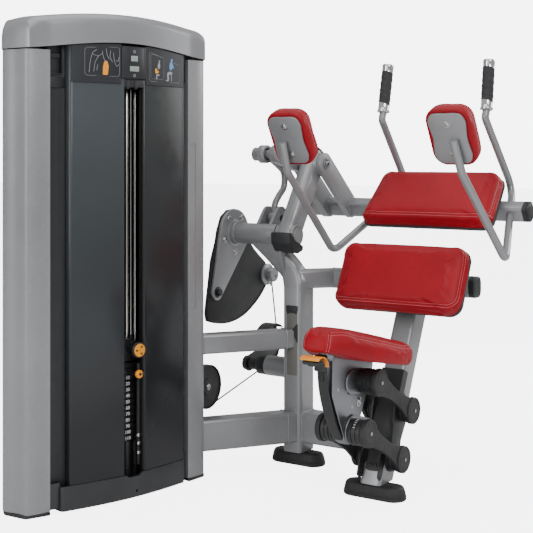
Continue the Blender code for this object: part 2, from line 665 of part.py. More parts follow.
# ------------------------------------------------------------------ back pads
def back_pad(level, frame, pad, shell, pivot=(0, 0, 0)):
    """Pad and backing shell; pad is (half width, y0, y1, thickness), shell has z0 last."""
    half, low, high, thickness = pad
    part(level + "_back_pad", box((-half, low, -thickness), (half, high, 0.0), 0.018, 1, frame),
         UPHOLSTERY, pivot)
    half, low, high, bottom = shell
    part(level + "_pad_shell", box((-half, low, bottom), (half, high, -thickness - WIDE_GAP),
                                   0.006, 1, frame), BLACK, pivot)


back_pad("lower", pad_frame((0, 0.177, 0.797), (0.4226, 0.9063), (-0.9063, 0.4226)),
         (0.270, -0.137, 0.135, 0.068), (0.250, -0.125, 0.120, -0.090))
back_pad("upper", pad_frame((0, 0.478, 1.104), (0.7071, 0.7071), (-0.7071, 0.7071)),
         (0.278, -0.136, 0.150, 0.064), (0.262, -0.124, 0.136, -0.0845), (0, *UPPER_AXIS))

# ------------------------------------------------------------------ lower arm stage
ARM_X0, ARM_X1 = -0.545, -0.460
LEVER_X0, LEVER_X1 = -0.7834, -0.7708
LEVER_END = (0.072, 0.694)
ARM_PIVOT = (0, *ARM_AXIS)

arm_mid = (ARM_X0 + ARM_X1) / 2
part("main_arm",
     combine(bar((arm_mid, *ARM_AXIS), (arm_mid, *UPPER_AXIS), 0.072, 0.096, 0.030, segments=4),
             adds=[rod_x(ARM_AXIS, ARM_X0, ARM_X1, 0.056, 28),
                   rod_x(UPPER_AXIS, ARM_X0, ARM_X1, 0.047, 28)],
             cuts=[rod_x(UPPER_AXIS, -0.60, -0.40, 0.0206, 24)]), FRAME_PAINT, ARM_PIVOT)
part("arm_plug", rod_x(ARM_AXIS, ARM_X1 + GAP, ARM_X1 + 0.012, 0.034, 24), FRAME_PAINT, ARM_PIVOT)
part("pivot_shaft", rod_x(ARM_AXIS, ARM_X0 - GAP, LEVER_X1 + GAP, SHAFT_R, 28), CHROME, ARM_PIVOT)
part("cam_lever", flat(wrap([(*ARM_AXIS, 0.100), (*LEVER_END, 0.030)], 28), LEVER_X0, LEVER_X1),
     FRAME_PAINT, ARM_PIVOT)
part("lever_bolt", rod_x(LEVER_END, LEVER_X1 + GAP, -0.757, 0.0140, 6), STEEL, ARM_PIVOT)


def cam_point(degrees):
    """Point of the cam's working edge, whose radius grows towards -118 degrees."""
    radius = 0.357 + 0.040 * max((-degrees - 50) / 68.0, 0.0) ** 1.8
    return (ARM_AXIS[0] + radius * math.cos(math.radians(degrees)),
            ARM_AXIS[1] + radius * math.sin(math.radians(degrees)))


# (y, z) of the rest of the cam, from the working edge's rear end over the arm axis
CAM_BACK = [(0.455, 0.702), (0.443, 0.787), (0.340, 0.870), (0.270, 0.985),
            (ARM_AXIS[0] + 0.02, ARM_AXIS[1] + 0.085), (ARM_AXIS[0] - 0.05, ARM_AXIS[1] + 0.070),
            (ARM_AXIS[0] - 0.085, ARM_AXIS[1] + 0.01), (0.060, 0.760), (0.034, 0.680)]
part("cam", flat([cam_point(a) for a in range(-118, -40, 6)] + CAM_BACK,
                 -0.7997, LEVER_X0 - GAP), STEEL, ARM_PIVOT)
part("cable_anchor", rod_x(ANCHOR, LEVER_X0, -0.762, ANCHOR_R * 0.8, 24), FRAME_PAINT, ARM_PIVOT)

# ------------------------------------------------------------------ upper arm stage
CHEEK_END = -0.436                # +X face of the cheek plates
BAR_END = 0.3455
BAR_UP = (0, 0.848, 0.53)
HANDLE_R, GRIP_R = 0.01325, 0.021
# (x, y, z) corners of the left handle, from the elbow plate to the tip, and corner radii
HANDLE_PATH = [(0.353, -0.0816, 1.3065), (0.362, -0.030, 1.190), (0.374, 0.333, 0.862),
               (0.239, 0.735, 1.120), (0.2286, 0.479, 1.405), (0.229, 0.492, 1.431),
               (0.225, 0.529, 1.628)]
HANDLE_RADII = [0.045, 0.050, 0.060, 0.050, 0.0]
GRIP_START = (0.229, 0.4925, 1.4335)
UPPER_PIVOT = (0, *UPPER_AXIS)


def handle(side):
    path = rounded([(side * x, y, z) for x, y, z in HANDLE_PATH], HANDLE_RADII)
    return tube(path, HANDLE_R)


# cheek plates, crank, cross bar with two blocks, and the two bent handles
part("upper_arm_frame",
     combine(flat(wrap([(*UPPER_AXIS, 0.046), (*CROSS_BAR, 0.044)]), ARM_X1 + GAP, CHEEK_END),
             adds=[flat(wrap([(*UPPER_AXIS, 0.044), (*CROSS_BAR, 0.044)]),
                        -0.5790, ARM_X0 - GAP),
                   flat(wrap([(*UPPER_AXIS, 0.040), (*CRANK, 0.036)]), -0.5775, -0.5470),
                   rod_x(CRANK, -0.565, -0.6850, 0.0225, 24),
                   bar((-0.620, *CROSS_BAR), (BAR_END, *CROSS_BAR), 0.060, 0.070, 0.016, BAR_UP),
                   *[bar((x, *CROSS_BAR), (x, CROSS_BAR[0] - 0.034, CROSS_BAR[1] + 0.034),
                         0.040, 0.040, 0.006) for x in (-0.085, 0.085)],
                   handle(1), handle(-1)]), FRAME_PAINT, UPPER_PIVOT)
part("upper_pivot_shaft", rod_x(UPPER_AXIS, ARM_X0 + GAP, ARM_X1 - GAP, 0.020, 24), CHROME,
     UPPER_PIVOT)
part("arm_bolt", rod_x(UPPER_AXIS, CHEEK_END + GAP, -0.424, 0.022), STEEL, UPPER_PIVOT)
part("bar_end_cap", bar((BAR_END + GAP, *CROSS_BAR), (0.3755, *CROSS_BAR), 0.062, 0.072, 0.018,
                        BAR_UP), BLACK, UPPER_PIVOT)

for name, side in (("left", 1), ("right", -1)):
    # grip sleeve, closed over the handle's tip
    start, end = [Vector((side * x, y, z)) for x, y, z in (GRIP_START, HANDLE_PATH[-1])]
    run = (end - start).normalized()
    part(name + "_grip",
         combine(rod(start + run * 0.004, end + run * 0.008, GRIP_R),
                 cuts=[rod(start - run * 0.01, end + run * 0.0005, HANDLE_R + 0.0008)]),
         RUBBER, UPPER_PIVOT)
    # elbow pad on its plate
    frame = pad_frame((side * 0.334, -0.0655, 1.3140), (-0.480, 0.877), (0.877, 0.480))
    plate_face = 0.004
    part(name + "_elbow_plate", box((-0.070, -0.101, -plate_face), (0.070, 0.101, plate_face),
                                    0.0015, 1, frame), FRAME_PAINT, UPPER_PIVOT)
    part(name + "_elbow_pad", box((-0.085, -0.119, plate_face + WIDE_GAP),
                                  (0.085, 0.119, 0.062), 0.014, 1, frame),
         UPHOLSTERY, UPPER_PIVOT)

# link rod between the fixed ears and the crank pin
ROD_X0, ROD_X1 = -0.636, -0.604
# (y, z) of its bent middle, from the foot up
ROD_BEND = [(0.268, 1.050), (0.299, 1.087), (0.334, 1.118), (0.343, 1.157), (0.330, 1.192),
            (0.274, 1.225), (0.230, 1.246)]
rod_path = [((ROD_X0 + ROD_X1) / 2, *p) for p in (ROD_FOOT, *ROD_BEND, CRANK)]
part("link_rod",
     combine(rod_x(ROD_FOOT, ROD_X0, ROD_X1, 0.027, 24),
             adds=[rod_x(CRANK, ROD_X0, ROD_X1, 0.042, 28), tube(rod_path, 0.0125)],
             cuts=[rod_x(ROD_FOOT, -0.66, -0.58, 0.0132, 16),
                   rod_x(CRANK, -0.66, -0.58, 0.0310, 28)]), FRAME_PAINT, (0, *ROD_FOOT))

# ------------------------------------------------------------------ seat
LINK_X0, LINK_X1, LINK_R = 0.0975, 0.1120, 0.050
SEAT = Matrix.Translation((0, -0.220, 0.612)) @ Matrix.Rotation(math.radians(-14.5), 4, 'X')
SEAT_PIVOT = (0, *UPPER_LINK_SEAT)
SEAT_THICK = 0.074


def seat_link(name, frame_pin, seat_pin):
    """Pair of side plates joined by two pins."""
    outline = wrap([(*frame_pin, LINK_R), (*seat_pin, LINK_R)], 24)
    part(name, combine(flat(outline, LINK_X0, LINK_X1),
                       adds=[flat(outline, -LINK_X1, -LINK_X0),
                             rod_x(frame_pin, -0.105, 0.105, PIN_R, 16),
                             rod_x(seat_pin, -0.105, 0.105, PIN_R, 16)]), STEEL, (0, *frame_pin))


seat_link("upper_link", UPPER_LINK_FRAME, UPPER_LINK_SEAT)
seat_link("lower_link", LOWER_LINK_FRAME, LOWER_LINK_SEAT)

seat_pins = (UPPER_LINK_SEAT, LOWER_LINK_SEAT)
post_outline = wrap([(-0.335, 0.540, 0.018), (-0.100, 0.481, 0.018), (*UPPER_LINK_SEAT, HUB_R),
                     (*LOWER_LINK_SEAT, HUB_R), (-0.325, 0.430, 0.018)])
part("seat_post",
     combine(flat(post_outline, -0.020, 0.020),
             adds=[box((-0.035, -0.150, -0.088), (0.035, 0.120, -SEAT_THICK - WIDE_GAP),
                       frame=SEAT)]
             + [rod_x(pin, -HUB_HALF, HUB_HALF, HUB_R, 24) for pin in seat_pins],
             cuts=[rod_x(pin, -0.110, 0.110, PIN_BORE_R) for pin in seat_pins]),
     CASTING, SEAT_PIVOT)

# (x, y) of the pad's +X half in the seat's own plane, from the narrow front to the rear
SEAT_HALF = [(0.0, -0.205), (0.040, -0.205), (0.054, -0.195), (0.074, -0.150), (0.120, -0.040),
             (0.155, 0.070), (0.171, 0.160), (0.168, 0.204), (0.150, 0.220), (0.0, 0.224)]
part("seat_pad", flat(SEAT_HALF + [(-x, y) for x, y in SEAT_HALF[-2:0:-1]],
                      -SEAT_THICK, 0.0, SEAT), UPHOLSTERY, SEAT_PIVOT)

# (y, z) outline of the trim strip: down its front face, then up its rear face
SEAT_TRIM = [(-0.380, 0.528), (-0.374, 0.470), (-0.358, 0.415), (-0.326, 0.345), (-0.276, 0.262),
             (-0.2685, 0.2665), (-0.316, 0.349), (-0.349, 0.418), (-0.3655, 0.472),
             (-0.372, 0.528)]
part("seat_trim", flat(SEAT_TRIM, -0.0195, 0.0195), BLACK, SEAT_PIVOT)
part("seat_lever",
     combine(box((-0.038, -0.430, 0.5590), (0.038, -0.404, 0.5710), 0.004, 2),
             adds=[box((-0.018, -0.412, 0.5600), (0.018, -0.389, 0.5700), 0.003)]),
     ORANGE, (0, -0.392, 0.590))
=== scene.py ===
# Looks of the abdominal crunch machine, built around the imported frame.
import math
import bpy
import bmesh
import numpy as np
from mathutils import Vector, Matrix, kdtree
from mathutils.bvhtree import BVHTree


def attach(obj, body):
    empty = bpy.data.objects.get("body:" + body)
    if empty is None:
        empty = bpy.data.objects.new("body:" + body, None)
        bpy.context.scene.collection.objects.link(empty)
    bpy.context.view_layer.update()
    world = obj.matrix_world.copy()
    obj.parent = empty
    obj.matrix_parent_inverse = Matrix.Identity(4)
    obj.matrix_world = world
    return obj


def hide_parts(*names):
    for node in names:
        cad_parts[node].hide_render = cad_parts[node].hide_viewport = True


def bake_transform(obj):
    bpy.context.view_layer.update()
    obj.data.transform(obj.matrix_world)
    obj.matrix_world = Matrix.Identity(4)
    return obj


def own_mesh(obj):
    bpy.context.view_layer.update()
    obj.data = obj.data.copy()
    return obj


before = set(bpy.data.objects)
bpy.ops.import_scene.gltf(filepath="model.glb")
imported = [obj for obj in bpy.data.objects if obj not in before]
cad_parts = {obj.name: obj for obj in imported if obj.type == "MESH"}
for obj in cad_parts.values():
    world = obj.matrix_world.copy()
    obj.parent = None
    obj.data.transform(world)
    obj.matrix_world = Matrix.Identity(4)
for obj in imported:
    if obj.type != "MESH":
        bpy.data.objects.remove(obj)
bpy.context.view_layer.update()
SCENE = bpy.context.scene

# ------------------------------------------------------------------ dimensions
SEG = 48
TW_X, TW_Y = -0.8645, -0.914
TW_TX, TW_TY = 0.2311, 0.9729
TW_W, TW_D = 0.792, 0.300
TW_SHELL_Z, TW_TOP = 1.628, 1.770
POST_W = 0.088
SLOT_L, SLOT_R = 0.379, 0.466
STACK_S, STACK_D = 0.468, 0.035
STACK_Z0, PLATE_H = 0.1945, 0.0225
PLATES_REST, PLATES_UP = 11, 2
COL_W, COL_DP = 0.078, 0.100
COL2_Y0, COL2_SLOPE, COL2_TOP = 0.0046, 0.4742, 0.850
COL1_X, COL1_Y = -0.486, 0.243
FOOT_H = 0.052
O1, O2 = (0.195, 0.932), (0.380, 1.222)
CRANK, ROD_F, BAR = (0.1925, 1.262), (0.264, 0.995), (0.600, 1.034)
ARM_X0, ARM_X1 = -0.545, -0.460
CAM_R, CAM_X = 0.355, -0.790
HOUSE_R, SHAFT_R = 0.0435, 0.0250
HANDLE_R, GRIP_R = 0.01325, 0.021
P1, P2, PULLEY_R = (0.0175, 0.313), (0.462, 0.425), 0.090
ANCHOR, ANCHOR_R = (0.450, 0.736), 0.049
STUB = (0.270, 0.377)
LB, LD = (0.126, 0.304), (0.046, 0.139)
LA, LC = (-0.132, 0.450), (-0.212, 0.285)
LINK_X0, LINK_X1, LINK_R = 0.0975, 0.1120, 0.050
HUB_R = 0.046
LEVER_END = (0.072, 0.694)

TOWER = Matrix(((TW_TX, -TW_TY, 0, TW_X), (TW_TY, TW_TX, 0, TW_Y), (0, 0, 1, 0), (0, 0, 0, 1)))
SIDE = Matrix(((0, 0, 1, 0), (1, 0, 0, 0), (0, 1, 0, 0), (0, 0, 0, 1)))
LEVEL = Matrix.Identity(4)
NORMAL = Vector((TW_TY, -TW_TX, 0))


# ------------------------------------------------------------------ shape tools
def tower(s, d, z=0.0):
    return Vector((TW_X + s * TW_TX - d * TW_TY, TW_Y + s * TW_TY + d * TW_TX, z))


def evaluated(ob):
    bpy.context.view_layer.update()
    dg = bpy.context.evaluated_depsgraph_get()
    me = bpy.data.meshes.new_from_object(ob.evaluated_get(dg))
    me.transform(ob.matrix_world)
    bm = bmesh.new()
    bm.from_mesh(me)
    bpy.data.meshes.remove(me)
    return bm


def weld(bm, dist=1e-6):
    bmesh.ops.remove_doubles(bm, verts=bm.verts, dist=dist)
    bmesh.ops.recalc_face_normals(bm, faces=bm.faces)
    return bm


def rotation_to(direction, up=(1, 0, 0)):
    z = Vector(direction).normalized()
    x = Vector(up)
    x = (x - z * x.dot(z)).normalized()
    return Matrix((x, z.cross(x), z)).transposed().to_4x4()


def soften(bm, offset, seg=2, angle=35):
    """Rounds every edge sharper than angle."""
    if offset <= 0:
        return bm
    edges = [e for e in bm.edges if len(e.link_faces) == 2 and e.calc_face_angle(0) > math.radians(angle)]
    if edges:
        bmesh.ops.bevel(bm, geom=edges, offset=offset, segments=seg, profile=0.5, affect='EDGES', clamp_overlap=True)
    return bm


def bar(p0, p1, w, h, r=0.012, up=(1, 0, 0), seg=6, end=0.0015):
    p0, p1 = Vector(p0), Vector(p1)
    bm = bmesh.new()
    bmesh.ops.create_cube(bm, size=1.0)
    length = (p1 - p0).length
    bmesh.ops.scale(bm, vec=(w, h, length), verts=bm.verts)
    if r > 0:
        long_edges = [e for e in bm.edges if abs((e.verts[0].co - e.verts[1].co).z) > length * 0.9]
        bmesh.ops.bevel(bm, geom=long_edges, offset=r, segments=seg, profile=0.5, affect='EDGES')
    soften(bm, end, 2, 60)
    bmesh.ops.transform(bm, matrix=Matrix.Translation((p0 + p1) / 2) @ rotation_to(p1 - p0, up), verts=bm.verts)
    bmesh.ops.recalc_face_normals(bm, faces=bm.faces)
    return bm


def box(lo, hi, r=0.0, seg=3, m=None):
    lo, hi = Vector(lo), Vector(hi)
    bm = bmesh.new()
    bmesh.ops.create_cube(bm, size=1.0)
    bmesh.ops.scale(bm, vec=hi - lo, verts=bm.verts)
    bmesh.ops.translate(bm, vec=(lo + hi) / 2, verts=bm.verts)
    if r > 0:
        bmesh.ops.bevel(bm, geom=list(bm.edges), offset=r, segments=seg, profile=0.5, affect='EDGES')
    if m is not None:
        bmesh.ops.transform(bm, matrix=m, verts=bm.verts)
    bmesh.ops.recalc_face_normals(bm, faces=bm.faces)
    return bm


def rod(p0, p1, r, seg=None, edge=0.0012, r2=None):
    p0, p1 = Vector(p0), Vector(p1)
    bm = bmesh.new()
    bmesh.ops.create_cone(bm, cap_ends=True, segments=seg or SEG, radius1=r, radius2=r if r2 is None else r2, depth=(p1 - p0).length)
    soften(bm, min(edge, r * 0.4, (p1 - p0).length * 0.4), 3, 60)
    up = (1, 0, 0) if abs((p1 - p0).normalized().x) < 0.9 else (0, 1, 0)
    bmesh.ops.transform(bm, matrix=Matrix.Translation((p0 + p1) / 2) @ rotation_to(p1 - p0, up), verts=bm.verts)
    bmesh.ops.recalc_face_normals(bm, faces=bm.faces)
    return bm


def rod_x(yz, x0, x1, r, seg=None, edge=0.0012):
    return rod((x0, yz[0], yz[1]), (x1, yz[0], yz[1]), r, seg, edge)


def flat(outline, t0, t1, m=SIDE, bev=0.0, holes=(), res=2):
    """Flat outline as a filled 2D curve with rounded edges, from t0 to t1 along its normal."""
    cu = bpy.data.curves.new("outline", 'CURVE')
    cu.dimensions = '2D'
    cu.fill_mode = 'BOTH'
    cu.extrude = max(abs(t1 - t0) / 2 - bev, 1e-5)
    cu.bevel_depth = bev
    cu.bevel_resolution = res
    cu.offset = -bev
    for pts in (outline, *holes):
        sp = cu.splines.new('POLY')
        sp.points.add(len(pts) - 1)
        for p, q in zip(sp.points, pts):
            p.co = (q[0], q[1], 0, 1)
        sp.use_cyclic_u = True
    ob = bpy.data.objects.new("outline", cu)
    SCENE.collection.objects.link(ob)
    ob.matrix_world = m @ Matrix.Translation((0, 0, (t0 + t1) / 2))
    bm = evaluated(ob)
    bpy.data.objects.remove(ob)
    return weld(bm, 1e-5)


def tube(points, r, res=8, caps=True):
    cu = bpy.data.curves.new("tube", 'CURVE')
    cu.dimensions = '3D'
    cu.bevel_depth = r
    cu.bevel_resolution = res
    cu.use_fill_caps = caps
    sp = cu.splines.new('POLY')
    sp.points.add(len(points) - 1)
    for p, q in zip(sp.points, points):
        p.co = (*q, 1)
    ob = bpy.data.objects.new("tube", cu)
    SCENE.collection.objects.link(ob)
    bm = evaluated(ob)
    bpy.data.objects.remove(ob)
    return weld(bm, 1e-5)


def turned(profile, m, steps=56):
    me = bpy.data.meshes.new("profile")
    n = len(profile)
    me.from_pydata([(r, 0, h) for r, h in profile], [(i, (i + 1) % n) for i in range(n)], [])
    ob = bpy.data.objects.new("profile", me)
    SCENE.collection.objects.link(ob)
    mod = ob.modifiers.new("Screw", 'SCREW')
    mod.steps = mod.render_steps = steps
    mod.use_merge_vertices = True
    mod.merge_threshold = 0.0001
    bm = evaluated(ob)
    bpy.data.objects.remove(ob)
    bmesh.ops.transform(bm, matrix=m, verts=bm.verts)
    return weld(bm, 1e-5)


def join(*bms):
    out = bms[0]
    for b in bms[1:]:
        me = bpy.data.meshes.new("j")
        b.to_mesh(me)
        b.free()
        out.from_mesh(me)
        bpy.data.meshes.remove(me)
    return out


def boolean(base, others, op='UNION'):
    obs = []
    for b in [base] + list(others):
        me = bpy.data.meshes.new("b")
        b.to_mesh(me)
        b.free()
        o = bpy.data.objects.new("b", me)
        SCENE.collection.objects.link(o)
        obs.append(o)
    for o in obs[1:]:
        mod = obs[0].modifiers.new("B", 'BOOLEAN')
        mod.operation = op
        mod.solver = 'EXACT'
        mod.object = o
    bm = evaluated(obs[0])
    for o in obs:
        bpy.data.objects.remove(o)
    return weld(bm, 1e-6)


def circle(y, z, r, n=56):
    return [(y + r * math.cos(2 * math.pi * i / n), z + r * math.sin(2 * math.pi * i / n)) for i in range(n)]


def wrap(circles, n=56):
    pts = sorted(p for c in circles for p in circle(*c, n))

    def half(seq):
        out = []
        for p in seq:
            while len(out) > 1 and ((out[-1][0] - out[-2][0]) * (p[1] - out[-2][1])
                                    - (out[-1][1] - out[-2][1]) * (p[0] - out[-2][0])) <= 1e-10:
                out.pop()
            out.append(p)
        return out[:-1]
    return half(pts) + half(pts[::-1])


def bone(a, b, ra, waist, n=40):
    """Dog-bone outline: two round ends joined by a waist with concave flanks."""
    a, b = Vector(a), Vector(b)
    u = (b - a).normalized()
    v = Vector((-u.y, u.x))
    L = (b - a).length
    out = []
    a0 = math.radians(52)
    for k in range(n + 1):
        t = a0 + (2 * math.pi - 2 * a0) * k / n
        out.append(a + u * (ra * math.cos(t)) + v * (ra * math.sin(t)))
    def flank(sign):
        x0, y0 = ra * math.cos(a0), ra * math.sin(a0)
        pts = []
        for k in range(1, 16):
            f = k / 16
            x = x0 + (L - 2 * x0) * f
            y = waist + (y0 - waist) * abs(2 * f - 1) ** 2.2
            pts.append(a + u * x + v * (sign * y))
        return pts
    out += flank(-1)
    for k in range(n + 1):
        t = math.pi + a0 + (2 * math.pi - 2 * a0) * k / n
        out.append(b + u * (ra * math.cos(t)) + v * (ra * math.sin(t)))
    out += flank(1)[::-1]
    return [(p.x, p.y) for p in out]


def strip(path, t):
    inner = []
    for i, p in enumerate(path):
        a = Vector(path[max(i - 1, 0)])
        b = Vector(path[min(i + 1, len(path) - 1)])
        d = (b - a).normalized()
        inner.append((p[0] - d.y * t, p[1] + d.x * t))
    return list(path) + inner[::-1]


def rounded(points, radii, n=12):
    pts = [Vector(p) for p in points]
    out = [pts[0]]
    for i in range(1, len(pts) - 1):
        a, b, c = pts[i - 1], pts[i], pts[i + 1]
        u, v = (a - b).normalized(), (c - b).normalized()
        ang = u.angle(v)
        if radii[i - 1] <= 0 or ang > 3.12:
            out.append(b)
            continue
        cut = min(radii[i - 1] / math.tan(ang / 2), (a - b).length * 0.48, (c - b).length * 0.48)
        r = cut * math.tan(ang / 2)
        centre = b + (u + v).normalized() * (r / math.sin(ang / 2))
        s, e = b + u * cut - centre, b + v * cut - centre
        total = s.angle(e)
        for k in range(n + 1):
            f = k / n
            out.append(centre + (s * math.sin((1 - f) * total) + e * math.sin(f * total)) / math.sin(total))
    out.append(pts[-1])
    return out


def rounded_loop(points, radii, n=8):
    """Closed 2D outline with its corners rounded."""
    pts = [Vector((*p, 0)) for p in points]
    k = len(pts)
    if not hasattr(radii, '__len__'):
        radii = [radii] * k
    out = []
    for i in range(k):
        seg = rounded([pts[i - 1], pts[i], pts[(i + 1) % k]], [radii[i]], n)[1:-1]
        out += [(p.x, p.y) for p in seg]
    return out


def smooth_path(points, per=8):
    """Catmull-Rom curve through the points."""
    P = [Vector(p) for p in points]
    P = [P[0] * 2 - P[1]] + P + [P[-1] * 2 - P[-2]]
    out = []
    for i in range(1, len(P) - 2):
        for k in range(per):
            t = k / per
            out.append(0.5 * ((2 * P[i]) + (P[i + 1] - P[i - 1]) * t + (2 * P[i - 1] - 5 * P[i] + 4 * P[i + 1] - P[i + 2]) * t * t
                              + (3 * P[i] - P[i - 1] - 3 * P[i + 1] + P[i + 2]) * t ** 3))
    out.append(P[-2])
    return out


def loft(sections, closed=True, caps=True):
    bm = bmesh.new()
    rings = [[bm.verts.new(p) for p in s] for s in sections]
    n = len(rings[0])
    for a, b in zip(rings, rings[1:]):
        for i in range(n if closed else n - 1):
            j = (i + 1) % n
            bm.faces.new((a[i], a[j], b[j], b[i]))
    if closed and caps:
        bm.faces.new(rings[0][::-1])
        bm.faces.new(rings[-1])
    bmesh.ops.recalc_face_normals(bm, faces=bm.faces)
    return bm


def pad_frame(origin, along, normal):
    y = Vector((0, *along)).normalized()
    z = Vector((0, *normal)).normalized()
    x = y.cross(z)
    return Matrix.Translation(origin) @ Matrix((x, y, z)).transposed().to_4x4()


def piece(name, bm, mat, body, replaces=(), angle=38, smooth=True):
    me = bpy.data.meshes.new(name)
    bm.to_mesh(me)
    bm.free()
    me.materials.append(mat)
    if smooth:
        me.shade_smooth()
        me.set_sharp_from_angle(angle=math.radians(angle))
    ob = bpy.data.objects.new(name, me)
    SCENE.collection.objects.link(ob)
    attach(ob, body)
    if replaces:
        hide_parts(*((replaces,) if isinstance(replaces, str) else replaces))
    return ob


# ------------------------------------------------------------------ materials
class Nodes:
    def __init__(self, name):
        self.m = bpy.data.materials.new(name)
        self.m.use_nodes = True
        self.t = self.m.node_tree
        self.b = self.t.nodes["Principled BSDF"]
        self.co = self.t.nodes.new("ShaderNodeTexCoord")

    def add(self, kind, **values):
        n = self.t.nodes.new(kind)
        for k, v in values.items():
            if k in n.inputs.keys():
                n.inputs[k].default_value = v
            else:
                setattr(n, k, v)
        return n

    def link(self, a, b):
        self.t.links.new(a, b)

    def noise(self, scale, detail=4.0, rough=0.55, vec=None):
        n = self.add("ShaderNodeTexNoise", Scale=scale, Detail=detail, Roughness=rough)
        self.link(vec or self.co.outputs["Object"], n.inputs["Vector"])
        return n

    def ramp(self, src, stops):
        n = self.add("ShaderNodeValToRGB")
        e = n.color_ramp.elements
        while len(e) < len(stops):
            e.new(0.5)
        for el, (p, c) in zip(e, stops):
            el.position = p
            el.color = (*c, 1) if hasattr(c, '__len__') else (c, c, c, 1)
        self.link(src, n.inputs["Fac"])
        return n

    def bump(self, src, strength, dist, prev=None):
        n = self.add("ShaderNodeBump", Strength=strength, Distance=dist)
        self.link(src, n.inputs["Height"])
        if prev is not None:
            self.link(prev.outputs["Normal"], n.inputs["Normal"])
        return n

    def mix(self, fac, a, b, mode='MIX'):
        n = self.add("ShaderNodeMix", data_type='RGBA', blend_type=mode)
        for sock, v in ((n.inputs[0], fac), (n.inputs[6], a), (n.inputs[7], b)):
            if hasattr(v, "is_linked"):
                self.link(v, sock)
            elif hasattr(v, '__len__'):
                sock.default_value = (*v[:3], 1)
            else:
                sock.default_value = v
        return n.outputs[2]


def lin(*rgb):
    return tuple(((c / 255) / 12.92 if c / 255 <= 0.04045 else ((c / 255 + 0.055) / 1.055) ** 2.4) for c in rgb)


def painted(name, rgb, rough=0.34, metal=0.35, fleck=0.05, coat=0.25):
    """Powder coat: fine orange peel, metallic fleck, lighter worn edges."""
    n = Nodes(name)
    base = lin(*rgb)
    big = n.noise(2.2, 3)
    fine = n.noise(900, 2, 0.7)
    dark = tuple(c * 0.90 for c in base)
    light = tuple(min(c * 1.08, 1) for c in base)
    r = n.ramp(big.outputs["Fac"], [(0.3, dark), (0.7, light)])
    fl = n.ramp(fine.outputs["Fac"], [(0.35, 1 - fleck * 2), (0.65, 1 + 0)])
    col = n.mix(1.0, r.outputs["Color"], fl.outputs["Color"], 'MULTIPLY')
    geo = n.add("ShaderNodeNewGeometry")
    edge = n.ramp(geo.outputs["Pointiness"], [(0.50, 0.0), (0.60, 1.0)])
    wearn = n.noise(60, 5)
    wear = n.mix(1.0, edge.outputs["Color"], wearn.outputs["Fac"], 'MULTIPLY')
    bw = n.add("ShaderNodeRGBToBW")
    n.link(wear, bw.inputs["Color"])
    sc = n.add("ShaderNodeMath", operation='MULTIPLY')
    sc.inputs[1].default_value = 0.45
    n.link(bw.outputs["Val"], sc.inputs[0])
    col = n.mix(sc.outputs[0], col, tuple(min(c * 1.6 + 0.02, 1) for c in base))
    n.link(col, n.b.inputs["Base Color"])
    rr = n.ramp(n.noise(14, 4).outputs["Fac"], [(0.3, rough - 0.05), (0.7, rough + 0.06)])
    n.link(rr.outputs["Color"], n.b.inputs["Roughness"])
    n.b.inputs["Metallic"].default_value = metal
    n.b.inputs["Coat Weight"].default_value = coat
    n.b.inputs["Coat Roughness"].default_value = 0.18
    peel = n.noise(420, 3)
    n.link(n.bump(peel.outputs["Fac"], 0.10, 0.0006).outputs["Normal"], n.b.inputs["Normal"])
    return n.m


def moulded(name, rgb, rough=0.5, grain=700, strength=0.25, var=0.12, coat=0.0):
    """Moulded plastic or rubber with a fine spark texture and a painted highlight on convex edges."""
    n = Nodes(name)
    base = lin(*rgb)
    r = n.ramp(n.noise(9, 4).outputs["Fac"], [(0.3, tuple(c * (1 - var) for c in base)), (0.7, tuple(min(c * (1 + var) + 0.001, 1) for c in base))])
    # painted highlight: convex edges (pointiness) lightened towards a paler base
    geo = n.add("ShaderNodeNewGeometry")
    edge = n.ramp(geo.outputs["Pointiness"], [(0.51, 0.0), (0.62, 0.5)])
    bw = n.add("ShaderNodeRGBToBW")
    n.link(edge.outputs["Color"], bw.inputs["Color"])
    col = n.mix(bw.outputs["Val"], r.outputs["Color"], tuple(min(c * 1.9 + 0.01, 1) for c in base))
    n.link(col, n.b.inputs["Base Color"])
    rr = n.ramp(n.noise(25, 4).outputs["Fac"], [(0.3, rough - 0.06), (0.7, rough + 0.06)])
    n.link(rr.outputs["Color"], n.b.inputs["Roughness"])
    n.b.inputs["Coat Weight"].default_value = coat
    v = n.add("ShaderNodeTexVoronoi", Scale=grain)
    n.link(n.co.outputs["Object"], v.inputs["Vector"])
    n.link(n.bump(v.outputs["Distance"], strength, 0.0004).outputs["Normal"], n.b.inputs["Normal"])
    return n.m


def metal(name, rgb, rough=0.12, streak=0.08, axis=(1, 1, 0.05)):
    """Polished or brushed metal with faint directional streaks."""
    n = Nodes(name)
    base = lin(*rgb)
    mp = n.add("ShaderNodeMapping")
    mp.inputs["Scale"].default_value = axis
    n.link(n.co.outputs["Object"], mp.inputs["Vector"])
    ns = n.noise(700, 5, 0.6, mp.outputs["Vector"])
    r = n.ramp(ns.outputs["Fac"], [(0.3, max(rough - streak, 0.02)), (0.7, rough + streak)])
    n.link(r.outputs["Color"], n.b.inputs["Roughness"])
    c = n.ramp(ns.outputs["Fac"], [(0.2, tuple(x * 0.88 for x in base)), (0.8, base)])
    n.link(c.outputs["Color"], n.b.inputs["Base Color"])
    n.b.inputs["Metallic"].default_value = 1.0
    n.link(n.bump(ns.outputs["Fac"], 0.004, 0.0001).outputs["Normal"], n.b.inputs["Normal"])
    return n.m


